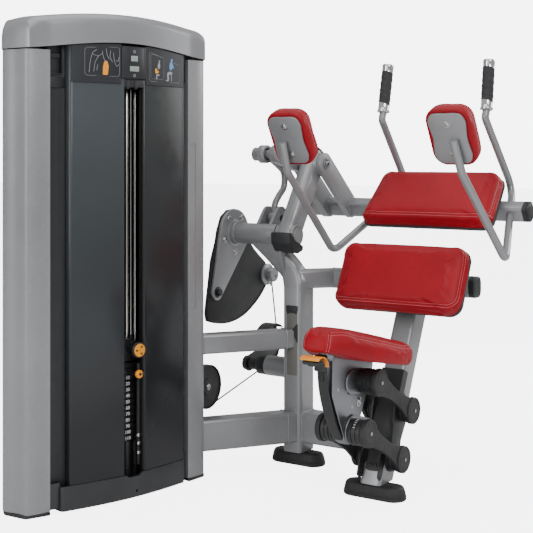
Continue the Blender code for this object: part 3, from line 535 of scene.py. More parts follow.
def leather(name, rgb):
    """Upholstery vinyl: pebbled grain, soft mottling, slight sheen."""
    n = Nodes(name)
    base = lin(*rgb)
    big = n.noise(6, 3)
    mid = n.noise(110, 4, 0.6)
    c1 = n.ramp(big.outputs["Fac"], [(0.3, tuple(c * 0.88 for c in base)), (0.7, tuple(min(c * 1.10, 1) for c in base))])
    c2 = n.ramp(mid.outputs["Fac"], [(0.30, 0.80), (0.70, 1.0)])
    col = n.mix(1.0, c1.outputs["Color"], c2.outputs["Color"], 'MULTIPLY')
    v = n.add("ShaderNodeTexVoronoi", Scale=520.0)
    warp = n.noise(260, 2)
    wv = n.add("ShaderNodeMix", data_type='VECTOR')
    wv.inputs[0].default_value = 0.004
    n.link(n.co.outputs["Object"], wv.inputs[4])
    n.link(warp.outputs["Color"], wv.inputs[5])
    n.link(wv.outputs[1], v.inputs["Vector"])
    pit = n.ramp(v.outputs["Distance"], [(0.0, 1.0), (0.35, 0.86), (0.7, 0.72)])
    col = n.mix(0.55, col, pit.outputs["Color"], 'MULTIPLY')
    n.link(col, n.b.inputs["Base Color"])
    rr = n.ramp(mid.outputs["Fac"], [(0.3, 0.40), (0.7, 0.56)])
    n.link(rr.outputs["Color"], n.b.inputs["Roughness"])
    n.b.inputs["Specular IOR Level"].default_value = 0.26
    n.b.inputs["Sheen Weight"].default_value = 0.03
    n.b.inputs["Sheen Roughness"].default_value = 0.4
    b1 = n.bump(v.outputs["Distance"], 0.35, 0.0006)
    b2 = n.bump(mid.outputs["Fac"], 0.30, 0.0012, b1)
    n.link(b2.outputs["Normal"], n.b.inputs["Normal"])
    return n.m


def smoked(name, top, bottom, edge_s=None):
    """Dark glossy sheet with a painted reflection: base colour paler towards its top, standing in for the room it
    mirrors.
    """
    n = Nodes(name)
    sep = n.add("ShaderNodeSeparateXYZ")
    n.link(n.co.outputs["Object"], sep.inputs[0])
    mr = n.add("ShaderNodeMapRange")
    mr.inputs["From Min"].default_value = 0.20
    mr.inputs["From Max"].default_value = 1.45
    n.link(sep.outputs["Z"], mr.inputs["Value"])
    wob = n.noise(1.6, 2)
    ad = n.add("ShaderNodeMath", operation='ADD')
    sb = n.add("ShaderNodeMath", operation='MULTIPLY_ADD')
    sb.inputs[1].default_value = 0.30
    sb.inputs[2].default_value = -0.15
    n.link(wob.outputs["Fac"], sb.inputs[0])
    n.link(mr.outputs["Result"], ad.inputs[0])
    n.link(sb.outputs[0], ad.inputs[1])
    t, b = lin(*top), lin(*bottom)
    mid = tuple((x * 0.45 + y * 0.55) for x, y in zip(t, b))
    # painted reflection: base colour runs by height from the dark bottom colour to the paler top colour
    r = n.ramp(ad.outputs[0], [(0.05, b), (0.5, mid), (0.95, t)])
    n.link(r.outputs["Color"], n.b.inputs["Base Color"])
    rr = n.ramp(n.noise(30, 5).outputs["Fac"], [(0.3, 0.16), (0.7, 0.26)])
    n.link(rr.outputs["Color"], n.b.inputs["Roughness"])
    n.b.inputs["Specular IOR Level"].default_value = 0.35
    n.link(n.bump(n.noise(3.0, 2).outputs["Fac"], 0.05, 0.01).outputs["Normal"], n.b.inputs["Normal"])
    return n.m


def gripped(name, rgb):
    """Grip rubber with a fine woven dimple."""
    n = Nodes(name)
    base = lin(*rgb)
    r = n.ramp(n.noise(30, 4).outputs["Fac"], [(0.3, tuple(c * 0.85 for c in base)), (0.7, tuple(c * 1.15 for c in base))])
    n.link(r.outputs["Color"], n.b.inputs["Base Color"])
    n.b.inputs["Roughness"].default_value = 0.72
    w1 = n.add("ShaderNodeTexWave", Scale=95.0, Distortion=0.4)
    w1.bands_direction = 'Z'
    n.link(n.co.outputs["Object"], w1.inputs["Vector"])
    v = n.add("ShaderNodeTexVoronoi", Scale=330.0)
    n.link(n.co.outputs["Object"], v.inputs["Vector"])
    b = n.bump(w1.outputs["Fac"], 0.25, 0.0006)
    n.link(n.bump(v.outputs["Distance"], 0.5, 0.0006, b).outputs["Normal"], n.b.inputs["Normal"])
    return n.m


def glow(name, rgb, strength=0.0, rough=0.4):
    n = Nodes(name)
    base = lin(*rgb)
    r = n.ramp(n.noise(40, 3).outputs["Fac"], [(0.3, tuple(c * 0.92 for c in base)), (0.7, base)])
    n.link(r.outputs["Color"], n.b.inputs["Base Color"])
    n.b.inputs["Roughness"].default_value = rough
    n.link(n.bump(n.noise(500, 2).outputs["Fac"], 0.05, 0.0004).outputs["Normal"], n.b.inputs["Normal"])
    return n.m


M_FRAME = painted("frame_paint", (140, 141, 143))
M_TOWER = painted("tower_paint", (138, 139, 141), rough=0.36, metal=0.30)
M_BLACK = moulded("black_plastic", (27, 28, 30), 0.46)
# near-black for recesses, slot returns and gaps: painted shade
M_PAINTED_SHADE = moulded("recess_painted_shade", (12, 12, 13), 0.55, 500, 0.15)
M_STEEL = painted("black_steel", (31, 32, 34), 0.42, 0.15, 0.04, 0.05)
M_CAM = painted("cam_paint", (27, 28, 30), 0.5, 0.1, 0.04, 0.02)
M_RUBBER = moulded("foot_rubber", (31, 31, 33), 0.6, 420, 0.45)
M_SHROUD = moulded("shroud_plastic", (42, 43, 46), 0.42, 600, 0.22)
# panel colours hold painted reflection; the left panel is painted lighter than the right
M_LPANEL = smoked("left_smoked_painted_reflection", (68, 73, 76), (34, 36, 39))
M_RPANEL = smoked("right_smoked_painted_reflection", (52, 55, 55), (30, 31, 34))
M_PAD = leather("red_vinyl", (166, 0, 24))
M_THREAD = glow("thread", (222, 130, 134), rough=0.7)
M_GRIP = gripped("grip_rubber", (42, 42, 45))
M_CHROME = metal("chrome", (225, 225, 228), 0.09, 0.012)
M_RODM = metal("guide_chrome", (205, 202, 196), 0.22, 0.05)
M_BOLT = metal("zinc_bolt", (190, 190, 188), 0.26, 0.08, (1, 1, 1))
M_BRUSH = metal("brushed_plate", (140, 142, 146), 0.36, 0.08, (0.3, 0.3, 3))
M_ORANGE = moulded("orange_plastic", (240, 138, 16), 0.38, 500, 0.12, 0.06, 0.2)
M_CARD = moulded("placard_black", (31, 32, 36), 0.35, 800, 0.05)
M_WHITE = glow("print_white", (226, 226, 226))
M_GREYP = glow("print_grey", (150, 152, 158))
M_BLUEP = glow("print_blue", (96, 150, 205))
M_LCD = glow("lcd", (150, 164, 156), rough=0.2)
M_CABLE = moulded("cable_jacket", (22, 22, 24), 0.45, 900, 0.3)


# ------------------------------------------------------------------ tower
def bow(s):
    f = min(max((s - 0.080) / 0.632, 0.0), 1.0)
    return 0.012 + 0.036 * math.sin(math.pi * f)


def arc_path(s0, s1, off=0.0, n=24):
    return [(s0 + (s1 - s0) * i / n, -(bow(s0 + (s1 - s0) * i / n) + off)) for i in range(n + 1)]


def cap_low(s):
    f = min(max(s / TW_W, 0.0), 1.0)
    return TW_SHELL_Z + 0.036 * math.sin(math.pi * f) ** 1.2


def post_profile():
    """Outer line of the left post: front face, crisp corner, hollow band, flat side."""
    a = [(POST_W, 0.060), (POST_W, -0.014)]
    front = [(0.070, -0.0142), (0.045, -0.0128), (0.022, -0.0098), (0.006, -0.0052)]
    hollow = [(0.0015, -0.0020), (-0.0012, 0.0035), (-0.0035, 0.012), (-0.0060, 0.024), (-0.0095, 0.040),
              (-0.0150, 0.056), (-0.0215, 0.070), (-0.0270, 0.084), (-0.0293, 0.095), (-0.0285, 0.105)]
    return a + front + hollow + [(-0.0240, 0.117), (-0.0080, 0.139), (0.0300, 0.190), (0.0940, 0.2830)]


def post(mirror=False):
    prof = post_profile()
    if mirror:
        prof = [(TW_W - s, d) for s, d in prof]
        out = strip(prof, 0.006)
    else:
        out = strip(prof[::-1], 0.006)
    return flat(out, 0.0125, TW_SHELL_Z - 0.003, TOWER, 0.0008, res=1)


piece("look_left_post", post(), M_TOWER, "frame", "left_post", angle=22)
rp = post(True)
piece("look_right_post", rp, M_TOWER, "frame", "right_post", angle=22)


def raised_line(path, r, closed=True):
    pts = list(path)
    if closed:
        pts = pts + [pts[0], pts[1]]
    return tube(pts, r, 3, caps=not closed)


# pressed outline on the front of the right post
inset = rounded_loop([(0.716, 0.660), (0.742, 0.660), (0.742, 1.305), (0.716, 1.305)], 0.012, 6)
piece("look_post_inset", raised_line([tower(s, -0.0142, z) for s, z in inset], 0.0012), M_TOWER, "frame")
base_out = rounded_loop([(0.094, 0.286), (0.029, 0.190), (-0.010, 0.140), (-0.032, 0.094), (-0.004, -0.004), (0.088, -0.020), (0.088, 0.060), (0.70, 0.060), (0.704, -0.020),
                         (TW_W + 0.004, -0.004), (TW_W + 0.032, 0.094), (TW_W + 0.010, 0.140), (TW_W - 0.029, 0.190), (TW_W - 0.094, 0.286)],
                        [0.01, 0.02, 0.01, 0.03, 0.02, 0.005, 0.01, 0.01, 0.005, 0.02, 0.03, 0.01, 0.02, 0.01], 5)
piece("look_tower_base", flat(base_out, 0.0, 0.0124, TOWER, 0.003), M_BLACK, "frame", "tower_base")

# recessed black linings either side of the panels, with the square pocket on the left
REC = 0.014
lining = boolean(flat(strip([(POST_W + 0.001, REC), (0.130, REC - 0.004), (0.175, REC - 0.010)], 0.010), 0.0124, 1.655, TOWER, 0.0006, res=1),
                 [box((0.094, -0.05, 1.545), (0.146, REC + 0.008, 1.70), 0.004, 2, TOWER)], 'DIFFERENCE')
piece("look_left_lining", lining, M_BLACK, "frame")
piece("look_pocket_back", box((0.092, REC + 0.007, 1.540), (0.150, REC + 0.012, 1.66), 0.001, 1, TOWER), M_CARD, "frame")
piece("look_pocket_frame", join(box((0.091, REC - 0.008, 1.541), (0.150, REC + 0.001, 1.547), 0.0015, 2, TOWER),
                                box((0.1455, REC - 0.012, 1.545), (0.1505, REC + 0.001, 1.665), 0.0015, 2, TOWER),
                                box((0.090, REC - 0.010, 1.494), (0.166, REC + 0.002, 1.532), 0.003, 2, TOWER)), M_BLACK, "frame")
# right lining in the painted-shade near-black, darker than the left lining
piece("look_right_lining", join(flat(strip([(0.655, REC - 0.006), (0.703, REC)], 0.010), 0.0124, 1.655, TOWER, 0.0006, res=1),
                                box((0.684, REC - 0.012, 1.54), (0.702, REC - 0.002, 1.66), 0.002, 2, TOWER)), M_PAINTED_SHADE, "frame")


def panel(s0, s1, z0, z1, roll0, roll1, r=0.013):
    """Bowed sheet whose free upright edges roll back into the tower."""
    path = []
    if roll0:
        for k in range(9):
            a = math.radians(90 * k / 8)
            path.append((s0 + r - r * math.sin(a) - 0.0 if False else s0 + r * (1 - math.sin(a)), -(bow(s0 + r)) + r * (1 - math.cos(a))))
        path = path[::-1]
        path = [(s0, -bow(s0 + r) + r + 0.016)] + path
    else:
        path = [(s0, -bow(s0))]
    body = arc_path(s0 + (r if roll0 else 0.0), s1 - (r if roll1 else 0.0))
    path += body[1:]
    if roll1:
        for k in range(1, 9):
            a = math.radians(90 * k / 8)
            path.append((s1 - r * (1 - math.sin(a)), -bow(s1 - r) + r * (1 - math.cos(a))))
        path.append((s1, -bow(s1 - r) + r + 0.012))
    return flat(strip(path, 0.004), z0, z1, TOWER, 0.0007, res=1)


piece("look_left_panel", panel(0.160, SLOT_L, 0.087, 1.655, True, False), M_LPANEL, "frame", "left_panel", angle=30)
piece("look_right_panel", panel(SLOT_R, 0.683, 0.087, 1.655, True, True, 0.010), M_RPANEL, "frame", "right_panel", angle=30)
# trims along the slot, in the painted-shade near-black
piece("look_slot_trims", join(
    box((SLOT_L - 0.0005, -bow(SLOT_L) + 0.001, 0.090), (SLOT_L + 0.0015, -bow(SLOT_L) + 0.012, 1.52), 0.0006, 1, TOWER),
    box((SLOT_R - 0.0015, -bow(SLOT_R) + 0.001, 0.090), (SLOT_R + 0.0005, -bow(SLOT_R) + 0.012, 1.52), 0.0006, 1, TOWER)), M_PAINTED_SHADE, "frame")
# dark inside of the tower: sheets of painted shade behind the stack and under the cap
piece("look_tower_inside_painted_shade", join(
    box((0.300, 0.150, 0.02), (0.640, 0.154, 1.60), 0.001, 1, TOWER),
    box((0.180, -0.004, 1.6235), (0.690, 0.120, 1.6275), 0.001, 1, TOWER),
    box((0.160, -0.010, 1.605), (0.690, -0.006, 1.668), 0.001, 1, TOWER)), M_PAINTED_SHADE, "frame")
vents = [box((0.0900, 0.2850, 0.0125), (0.7020, 0.2898, 1.606), 0.001, 1, TOWER)]
rp_lines = []
for i in range(9):
    z = 1.30 + i * 0.022
    rp_lines.append(box((0.28, 0.2896, z), (0.512, 0.2920, z + 0.009), 0.0011, 2, TOWER))
for s in (0.115, 0.396, 0.677):
    for z in (0.06, 0.80, 1.555):
        rp_lines.append(rod(tower(s, 0.2894, z), tower(s, 0.2925, z), 0.007, 20, 0.001))
piece("look_rear_panel", join(*vents), M_BLACK, "frame", "rear_panel")
piece("look_rear_details", join(*rp_lines), M_STEEL, "frame")

# base shroud: bowed front with rounded left corner, stepped ends and a notch under the slot
SH0, SH1 = 0.128, 0.686
sh = []
for k in range(9):
    a = math.radians(90 * k / 8)
    sh.append((SH0 + 0.016 * (1 - math.sin(a)), -bow(SH0 + 0.016) - 0.004 + 0.016 * (1 - math.cos(a))))
sh = [(SH0, 0.018)] + sh[::-1] + [(s, d - 0.004) for s, d in arc_path(SH0 + 0.020, SH1 - 0.010)] + [(SH1 - 0.002, -bow(SH1) + 0.004), (SH1, 0.010)]
shroud = flat(strip(sh, 0.012), 0.0030, 0.0895, TOWER, 0.0022, res=2)
notch = flat([(0.401, 0.0790), (0.447, 0.0790), (0.467, 0.0930), (0.379, 0.0930)], -0.09, 0.05,
             TOWER @ Matrix(((1, 0, 0, 0), (0, 0, 1, 0), (0, 1, 0, 0), (0, 0, 0, 1))))
hole = rod(tower(0.434, -0.09, 0.026), tower(0.434, 0.02, 0.026), 0.0048, 20, 0)
piece("look_base_shroud", boolean(shroud, [notch, hole], 'DIFFERENCE'), M_SHROUD, "frame", "base_shroud", angle=30)
piece("look_shroud_ends", join(
    flat(strip([(POST_W + 0.002, -0.002), (SH0 + 0.004, -0.006)], 0.012), 0.0124, 0.103, TOWER, 0.002),
    flat(strip([(SH1 - 0.006, -0.004), (0.703, 0.000)], 0.012), 0.0124, 0.107, TOWER, 0.002),
    rod(tower(0.434, -0.040, 0.026), tower(0.434, -0.030, 0.026), 0.0052, 20, 0.0003)), M_SHROUD, "frame")


# tower cap: arched hood with a soft crease near its left corner
def cap_ring(s):
    e = min((s + 0.034) / 0.075, (0.826 - s) / 0.075, 1.0)
    e = max(e, 0.0)
    rin = math.sqrt(max(1 - (1 - e) ** 2, 0.0))
    f = min(max(s / TW_W, 0.0), 1.0)
    top = 1.655 + (TW_TOP - 1.655 - 0.036 * (1 - math.sin(math.pi * f) ** 0.8)) * rin
    low = cap_low(s) if 0 <= s <= TW_W else TW_SHELL_Z
    # crease: the front steps in where the post's hollow band ends
    front = (bow(s) + 0.010)
    if s < 0.0:
        t = (-s) / 0.034
        front = bow(s) + 0.010 - 0.018 * min(t * 3, 1.0) - 0.092 * t ** 2.0
    elif s > TW_W - 0.010:
        t = (s - (TW_W - 0.010)) / 0.044
        front = bow(s) + 0.010 - 0.012 * min(t * 3, 1) - 0.088 * t ** 2.0
    edge, back = min(s + 0.034, 0.826 - s), 0.2965
    for t0, b0, t1, b1 in ((0.0, 0.104, 0.010, 0.124), (0.010, 0.124, 0.026, 0.146), (0.026, 0.146, 0.064, 0.196), (0.064, 0.196, 0.130, 0.2965)):
        if edge < t1:
            back = b0 + (b1 - b0) * max(edge - t0, 0.0) / (t1 - t0)
            break
    r = min(0.036, (top - low) * 0.55, (back + front) * 0.42)
    ring = [(-front, low), (-front, low + 0.002)]
    for k in range(1, 5):
        z = low + 0.002 + (top - r - low - 0.002) * k / 5
        ring.append((-front + 0.0015 * math.sin(math.pi * k / 5) * 0, z))
    for k in range(0, 11):
        a = math.pi / 2 * k / 10
        ring.append((-front + r - r * math.cos(a), top - r + r * math.sin(a)))
    for k in range(1, 6):
        g = k / 6
        ring.append((-front + r + (back - r + front - r) * g, top + 0.003 * math.sin(math.pi * g)))
    for k in range(0, 7):
        a = math.pi / 2 * k / 6
        ring.append((back - r * 0.6 + r * 0.6 * math.sin(a), top - r * 0.6 + r * 0.6 * math.cos(a)))
    ring.append((back, TW_SHELL_Z))
    return [tower(s, d, z) for d, z in ring]


cs = [-0.034, -0.0335, -0.032, -0.029, -0.025, -0.020, -0.014, -0.008, -0.003, 0.000]
cs += [0.004 + (TW_W - 0.014 - 0.004) * i / 64 for i in range(65)]
cs += [TW_W - 0.010, TW_W - 0.004, TW_W + 0.004, TW_W + 0.012, TW_W + 0.020, 0.819, 0.823, 0.8255, 0.826]
cap = loft([cap_ring(s) for s in cs], closed=False)
sdir = Vector((TW_TX, TW_TY, 0))
for val, sign in ((-0.034, 1), (0.826, -1)):
    ref = tower(val, 0, 0).dot(sdir)
    edge = [v for v in cap.verts if abs(v.co.dot(sdir) - ref) < 1e-5]
    cap.faces.new(edge)
bmesh.ops.recalc_face_normals(cap, faces=cap.faces)
cc = tower(0.396, 0.15, 1.70)
if sum((f.calc_center_median() - cc).dot(f.normal) for f in cap.faces) < 0:
    bmesh.ops.reverse_faces(cap, faces=cap.faces)
cap_ob = piece("look_tower_cap", cap, M_TOWER, "frame", "tower_cap", angle=48)
sol = cap_ob.modifiers.new("Solidify", 'SOLIDIFY')
sol.thickness = 0.005
sol.offset = -1


# placards: dark cards printed with plain line figures
def on_front(s, z, off=0.0):
    return tower(s, -(bow(s) + off), z)


def card(s0, s1, z0, gap, off=0.0034):
    """Card following the bow of the front, its top edge following the hood."""
    n = 28
    rows = []
    for i in range(n + 1):
        s = s0 + (s1 - s0) * i / n
        rows.append((s, z0, min(cap_low(s) - gap, 1.668)))
    secs = []
    for s, a, b in rows:
        secs.append([on_front(s, a, off - 0.003), on_front(s, a, off), on_front(s, b, off), on_front(s, b, off - 0.003)])
    bm = loft(secs, closed=True)
    return soften(bm, 0.0006, 1, 60)


piece("look_left_placard", card(0.166, 0.364, 1.516, 0.003), M_CARD, "frame", "left_placard")
piece("look_right_placard", card(0.477, 0.676, 1.516, 0.003), M_CARD, "frame", "right_placard")


def ink(strokes, r=0.0008, off=0.0041):
    """Printed lines as fine raised strokes on the card."""
    out = []
    for path in strokes:
        fine = smooth_path([Vector((s, z, 0)) for s, z in path], 5) if len(path) > 2 else [Vector((s, z, 0)) for s, z in path]
        out.append(tube([on_front(p.x, p.y, off) for p in fine], r, 1))
    return join(*out)


def blob(pts, off=0.0038, t=0.0009):
    """Printed patch: closed outline laid on the card."""
    cx = sum(p[0] for p in pts) / len(pts)
    bm = bmesh.new()
    lo = [bm.verts.new(on_front(s, z, off)) for s, z in pts]
    hi = [bm.verts.new(on_front(s, z, off + t)) for s, z in pts]
    bm.faces.new(hi)
    bm.faces.new(lo[::-1])
    for i in range(len(pts)):
        j = (i + 1) % len(pts)
        bm.faces.new((lo[i], lo[j], hi[j], hi[i]))
    bmesh.ops.recalc_face_normals(bm, faces=bm.faces)
    return bm


def oval(s, z, rs, rz, n=20, tilt=0.0):
    out = []
    for i in range(n):
        a = 2 * math.pi * i / n
        x, y = rs * math.cos(a), rz * math.sin(a)
        out.append((s + x * math.cos(tilt) - y * math.sin(tilt), z + x * math.sin(tilt) + y * math.cos(tilt)))
    return out


fr = rounded_loop([(0.215, 1.541), (0.356, 1.541), (0.356, 1.648), (0.215, 1.640)], 0.012, 5)
fr2 = rounded_loop([(0.500, 1.541), (0.566, 1.541), (0.566, 1.622), (0.500, 1.634)], 0.010, 5)
fr3 = rounded_loop([(0.492, 1.531), (0.652, 1.531), (0.652, 1.598), (0.492, 1.640)], 0.010, 5)
piece("look_card_frames", join(*[raised_line([on_front(s, z, 0.0040) for s, z in f], 0.0005) for f in (fr, fr2, fr3)]), M_GREYP, "frame")
# plain torso drawing on the left card
piece("look_card_lines", ink([
    [(0.232, 1.552), (0.236, 1.590), (0.246, 1.622), (0.262, 1.634)],
    [(0.250, 1.556), (0.256, 1.590), (0.270, 1.612)],
    [(0.246, 1.618), (0.266, 1.612), (0.286, 1.622)],
    [(0.284, 1.630), (0.290, 1.604), (0.306, 1.590)],
    [(0.300, 1.640), (0.304, 1.618), (0.314, 1.602)],
    [(0.318, 1.634), (0.316, 1.612), (0.326, 1.592)],
    [(0.330, 1.626), (0.334, 1.598), (0.344, 1.578), (0.353, 1.586)],
    [(0.340, 1.600), (0.349, 1.596), (0.353, 1.610)],
    [(0.262, 1.560), (0.266, 1.582)],
]), M_GREYP, "frame")
piece("look_card_orange", join(
    blob(rounded_loop([(0.286, 1.545), (0.306, 1.545), (0.310, 1.578), (0.303, 1.596), (0.292, 1.594), (0.287, 1.574)], 0.004, 4)),
    blob(oval(0.527, 1.571, 0.006, 0.010)), blob(oval(0.531, 1.566, 0.010, 0.004, tilt=0.3))), M_ORANGE, "frame")


def figure(s, z, h, lean):
    """Plain seated figure built from ovals."""
    q = h / 0.080
    head = blob(oval(s + 0.004 * q + lean, z + 0.072 * q, 0.006 * q, 0.007 * q))
    torso = blob(oval(s + 0.002 * q + lean * 0.5, z + 0.047 * q, 0.010 * q, 0.019 * q, tilt=-0.1))
    return head, torso


h1, t1 = figure(0.600, 1.552, 0.070, 0.004)
piece("look_card_blue", join(h1, t1, blob(oval(0.612, 1.596, 0.004, 0.013, tilt=0.5))), M_BLUEP, "frame")
h2, t2 = figure(0.538, 1.560, 0.052, 0.002)
piece("look_card_pale", join(blob(oval(0.598, 1.566, 0.014, 0.006, tilt=0.1)), blob(oval(0.588, 1.552, 0.005, 0.014, tilt=0.15)),
                             blob(oval(0.584, 1.538, 0.008, 0.003)), blob(oval(0.606, 1.548, 0.002, 0.016)),
                             h2, t2, blob(oval(0.536, 1.556, 0.009, 0.0035)), blob(oval(0.529, 1.548, 0.003, 0.009))), M_GREYP, "frame")

# repetition counter between the cards
ctr = box((0.3665, -0.0535, 1.535), (0.4745, -0.030, 1.655), 0.004, 3, TOWER)
piece("look_counter", ctr, M_BLACK, "frame", "rep_counter")
piece("look_counter_face", join(box((0.376, -0.0545, 1.541), (0.464, -0.052, 1.650), 0.001, 2, TOWER)), M_CARD, "frame")
piece("look_counter_lcd", join(box((0.405, -0.0556, 1.600), (0.435, -0.0540, 1.620), 0.0008, 2, TOWER),
                               box((0.400, -0.0556, 1.563), (0.440, -0.0540, 1.582), 0.0008, 2, TOWER)), M_LCD, "frame")
marks = []
for z in (1.635, 1.548):
    marks.append(turned([(0.0055, 0.0008), (0.0055, 0), (0.0035, 0), (0.0035, 0.0008)],
                        Matrix.Translation(tower(0.420, -0.0545, z)) @ rotation_to(NORMAL, (0, 0, 1)), 20))
piece("look_counter_marks", join(*marks), M_GREYP, "frame")
piece("look_slot_clip", join(box((0.374, -0.046, 1.505), (0.470, -0.020, 1.537), 0.003, 2, TOWER),
                             box((0.390, -0.048, 1.498), (0.402, -0.026, 1.530), 0.002, 2, TOWER),
                             box((0.428, -0.048, 1.498), (0.440, -0.026, 1.530), 0.002, 2, TOWER)), M_BLACK, "frame")

# guide rods, bumpers, crossmember and the pulley at the top
ROD_S = (STACK_S - 0.020, STACK_S + 0.020)
for nm, s in zip(("guide_rod_left", "guide_rod_right"), ROD_S):
    piece("look_" + nm, rod(tower(s, STACK_D, 0.0124), tower(s, STACK_D, 1.5985), 0.0088, 40, 0.001), M_RODM, "frame", nm)
for nm, s in zip(("stack_bumper_left", "stack_bumper_right"), ROD_S):
    prof = [(0.0180, STACK_Z0 - 0.003), (0.0165, STACK_Z0 - 0.0008), (0.0105, STACK_Z0 - 0.0008), (0.0092, STACK_Z0 - 0.002), (0.0092, 0.0130), (0.0165, 0.0130), (0.0180, 0.0145)]
    for k in range(3):
        z = 0.050 + 0.045 * k
        prof += [(0.0180, z), (0.0168, z + 0.0015), (0.0168, z + 0.0035), (0.0180, z + 0.005)]
    piece("look_" + nm, turned(prof, Matrix.Translation(tower(s, STACK_D, 0)), 40), M_BLACK, "frame", nm)
TOP_PULLEY = (0.095, 1.530)
piece("look_crossmember", join(box((0.10, 0.015, 1.5992), (0.69, 0.150, 1.6192), 0.004, 3, TOWER),
                               box((0.4325, 0.070, 1.50), (0.4400, 0.120, 1.605), 0.001, 2, TOWER),
                               box((0.4960, 0.070, 1.50), (0.5035, 0.120, 1.605), 0.001, 2, TOWER),
                               rod(tower(0.4300, *TOP_PULLEY), tower(0.5060, *TOP_PULLEY), 0.0078, 24)), M_STEEL, "frame", "top_crossmember")


def sheave(r, bore, half, holes=0):
    """Grooved wheel profile with a dished web, spun into a body."""
    g = r - 0.011
    return [(r, half * 0.95), (r - 0.0008, half), (r - 0.004, half), (r - 0.006, half * 0.55), (r * 0.60, half * 0.42), (r * 0.36, half * 0.45),
            (r * 0.33, half * 0.95), (bore, half * 0.95), (bore, -half * 0.95), (r * 0.33, -half * 0.95), (r * 0.36, -half * 0.45),
            (r * 0.60, -half * 0.42), (r - 0.006, -half * 0.55), (r - 0.004, -half), (r - 0.0008, -half), (r, -half * 0.95),
            (r - 0.001, -half * 0.72), (g + 0.002, -half * 0.36), (g, 0), (g + 0.002, half * 0.36), (r - 0.001, half * 0.72)]


tp = Matrix.Translation(tower(STACK_S, *TOP_PULLEY)) @ TOWER.to_3x3().to_4x4() @ rotation_to((1, 0, 0), (0, 1, 0))
piece("look_top_pulley", turned(sheave(0.060, 0.0090, 0.010), tp, 48), M_BLACK, "top_pulley", "top_pulley")

# weight stack
STACK_M = TOWER @ Matrix(((0, 0, 1, 0), (1, 0, 0, 0), (0, 1, 0, 0), (0, 0, 0, 1)))
z_up = STACK_Z0 + PLATES_REST * PLATE_H
z_head = z_up + PLATES_UP * PLATE_H
PIN_Z = z_up + 0.5 * PLATE_H
HEAD_TOP = z_head + 0.088


def plates(z0, count):
    out = []
    for i in range(count):
        out.append(box((0.3195, 0.013, z0 + i * PLATE_H + 0.0009), (0.6165, 0.099, z0 + (i + 1) * PLATE_H - 0.0009), 0.002, 3, TOWER))
    return join(*out)


piece("look_resting_plates", plates(STACK_Z0, PLATES_REST), M_STEEL, "frame", "resting_plates")
piece("look_lifted_plates", plates(z_up, PLATES_UP), M_STEEL, "stack", "lifted_plates")


def digits(text, size, m):
    cu = bpy.data.curves.new("n", 'FONT')
    cu.body = text
    cu.size = size
    cu.align_x, cu.align_y = 'CENTER', 'CENTER'
    cu.extrude = 0.0004
    cu.offset = 0.0004
    cu.resolution_u = 3
    ob = bpy.data.objects.new("n", cu)
    SCENE.collection.objects.link(ob)
    ob.matrix_world = m
    bm = evaluated(ob)
    bpy.data.objects.remove(ob)
    return bm


def facing(s, d, z):
    """Frame on the tower's front: X along s, Y up."""
    m = Matrix(((TW_TX, 0, TW_TY), (TW_TY, 0, -TW_TX), (0, 1, 0))).to_4x4()
    return Matrix.Translation(tower(s, d, z)) @ m


low = []
for i in range(11):
    z = STACK_Z0 + (10 - i) * PLATE_H + PLATE_H / 2
    bm = digits(str(10 * (i + 1)), 0.0175, facing(0.4385, 0.0125, z))
    low.append(bm)
piece("look_numbers_low", join(*low), M_WHITE, "frame")
head_bm = join(box((0.350, 0.016, z_head + 0.0006), (0.586, 0.096, HEAD_TOP - 0.030), 0.005, 3, TOWER),
               box((0.395, 0.010, HEAD_TOP - 0.062), (0.455, 0.090, HEAD_TOP), 0.006, 3, TOWER),
               box((0.455, 0.018, HEAD_TOP - 0.040), (0.560, 0.090, HEAD_TOP - 0.012), 0.005, 3, TOWER),
               rod(tower(STACK_S, STACK_D, STACK_Z0 + 0.02), tower(STACK_S, STACK_D, HEAD_TOP + 0.012), 0.0075, 24))
piece("look_stack_head", head_bm, M_STEEL, "stack", "stack_head")
piece("look_guide_rail", rod(tower(0.4640, -0.018, 0.112), tower(0.4640, -0.018, 0.487), 0.0080, 28, 0.002), M_BLACK, "frame")
rail_clips = [rod(tower(0.4640, -0.018, z), tower(0.4640, -0.018, z + 0.012), 0.0090, 28, 0.001) for z in (0.150, 0.185, 0.215)]
piece("look_rail_clips", join(*rail_clips), M_RODM, "frame")

DIAL = tower(0.441, -0.0485, 0.541)
disc_m = Matrix.Translation(DIAL) @ rotation_to(NORMAL, (0, 0, 1))
piece("look_dial_rim", join(turned([(0.0290, 0.0), (0.0290, 0.008), (0.0276, 0.0100), (0.0244, 0.0100), (0.0239, 0.0080), (0.002, 0.0080), (0.002, 0.0)], disc_m, 56), rod(DIAL - NORMAL * 0.064, DIAL + NORMAL * 0.002, 0.0100, 32)),
      M_BLACK, "dial", "add_weight_dial")
piece("look_dial_face", turned([(0.0237, 0.0078), (0.0237, 0.0112), (0.0226, 0.0122), (0.0004, 0.0126), (0.0004, 0.0078)], disc_m, 56), M_ORANGE, "dial")
syms = []
for a in (90, 210, 330):
    cx, cy = 0.0140 * math.sin(math.radians(a - 90)), 0.0140 * math.cos(math.radians(a - 90))
    syms.append(turned([(0.0042, 0.0123), (0.0042, 0.0134), (0.0022, 0.0134), (0.0022, 0.0123)], disc_m @ Matrix.Translation((cx, cy, 0)), 16))
    syms.append(box((cx - 0.0009, cy - 0.006, 0.0123), (cx + 0.0009, cy + 0.006, 0.0133), 0.0003, 1, disc_m))
syms.append(rod(disc_m @ Vector((0, 0, 0.012)), disc_m @ Vector((0, 0, 0.0138)), 0.0016, 12, 0.0003))
piece("look_dial_marks", join(*syms), M_BLACK, "dial")
PIN = tower(0.441, 0.0, PIN_Z)
pin_m = Matrix.Translation(PIN) @ rotation_to(NORMAL, (0, 0, 1))
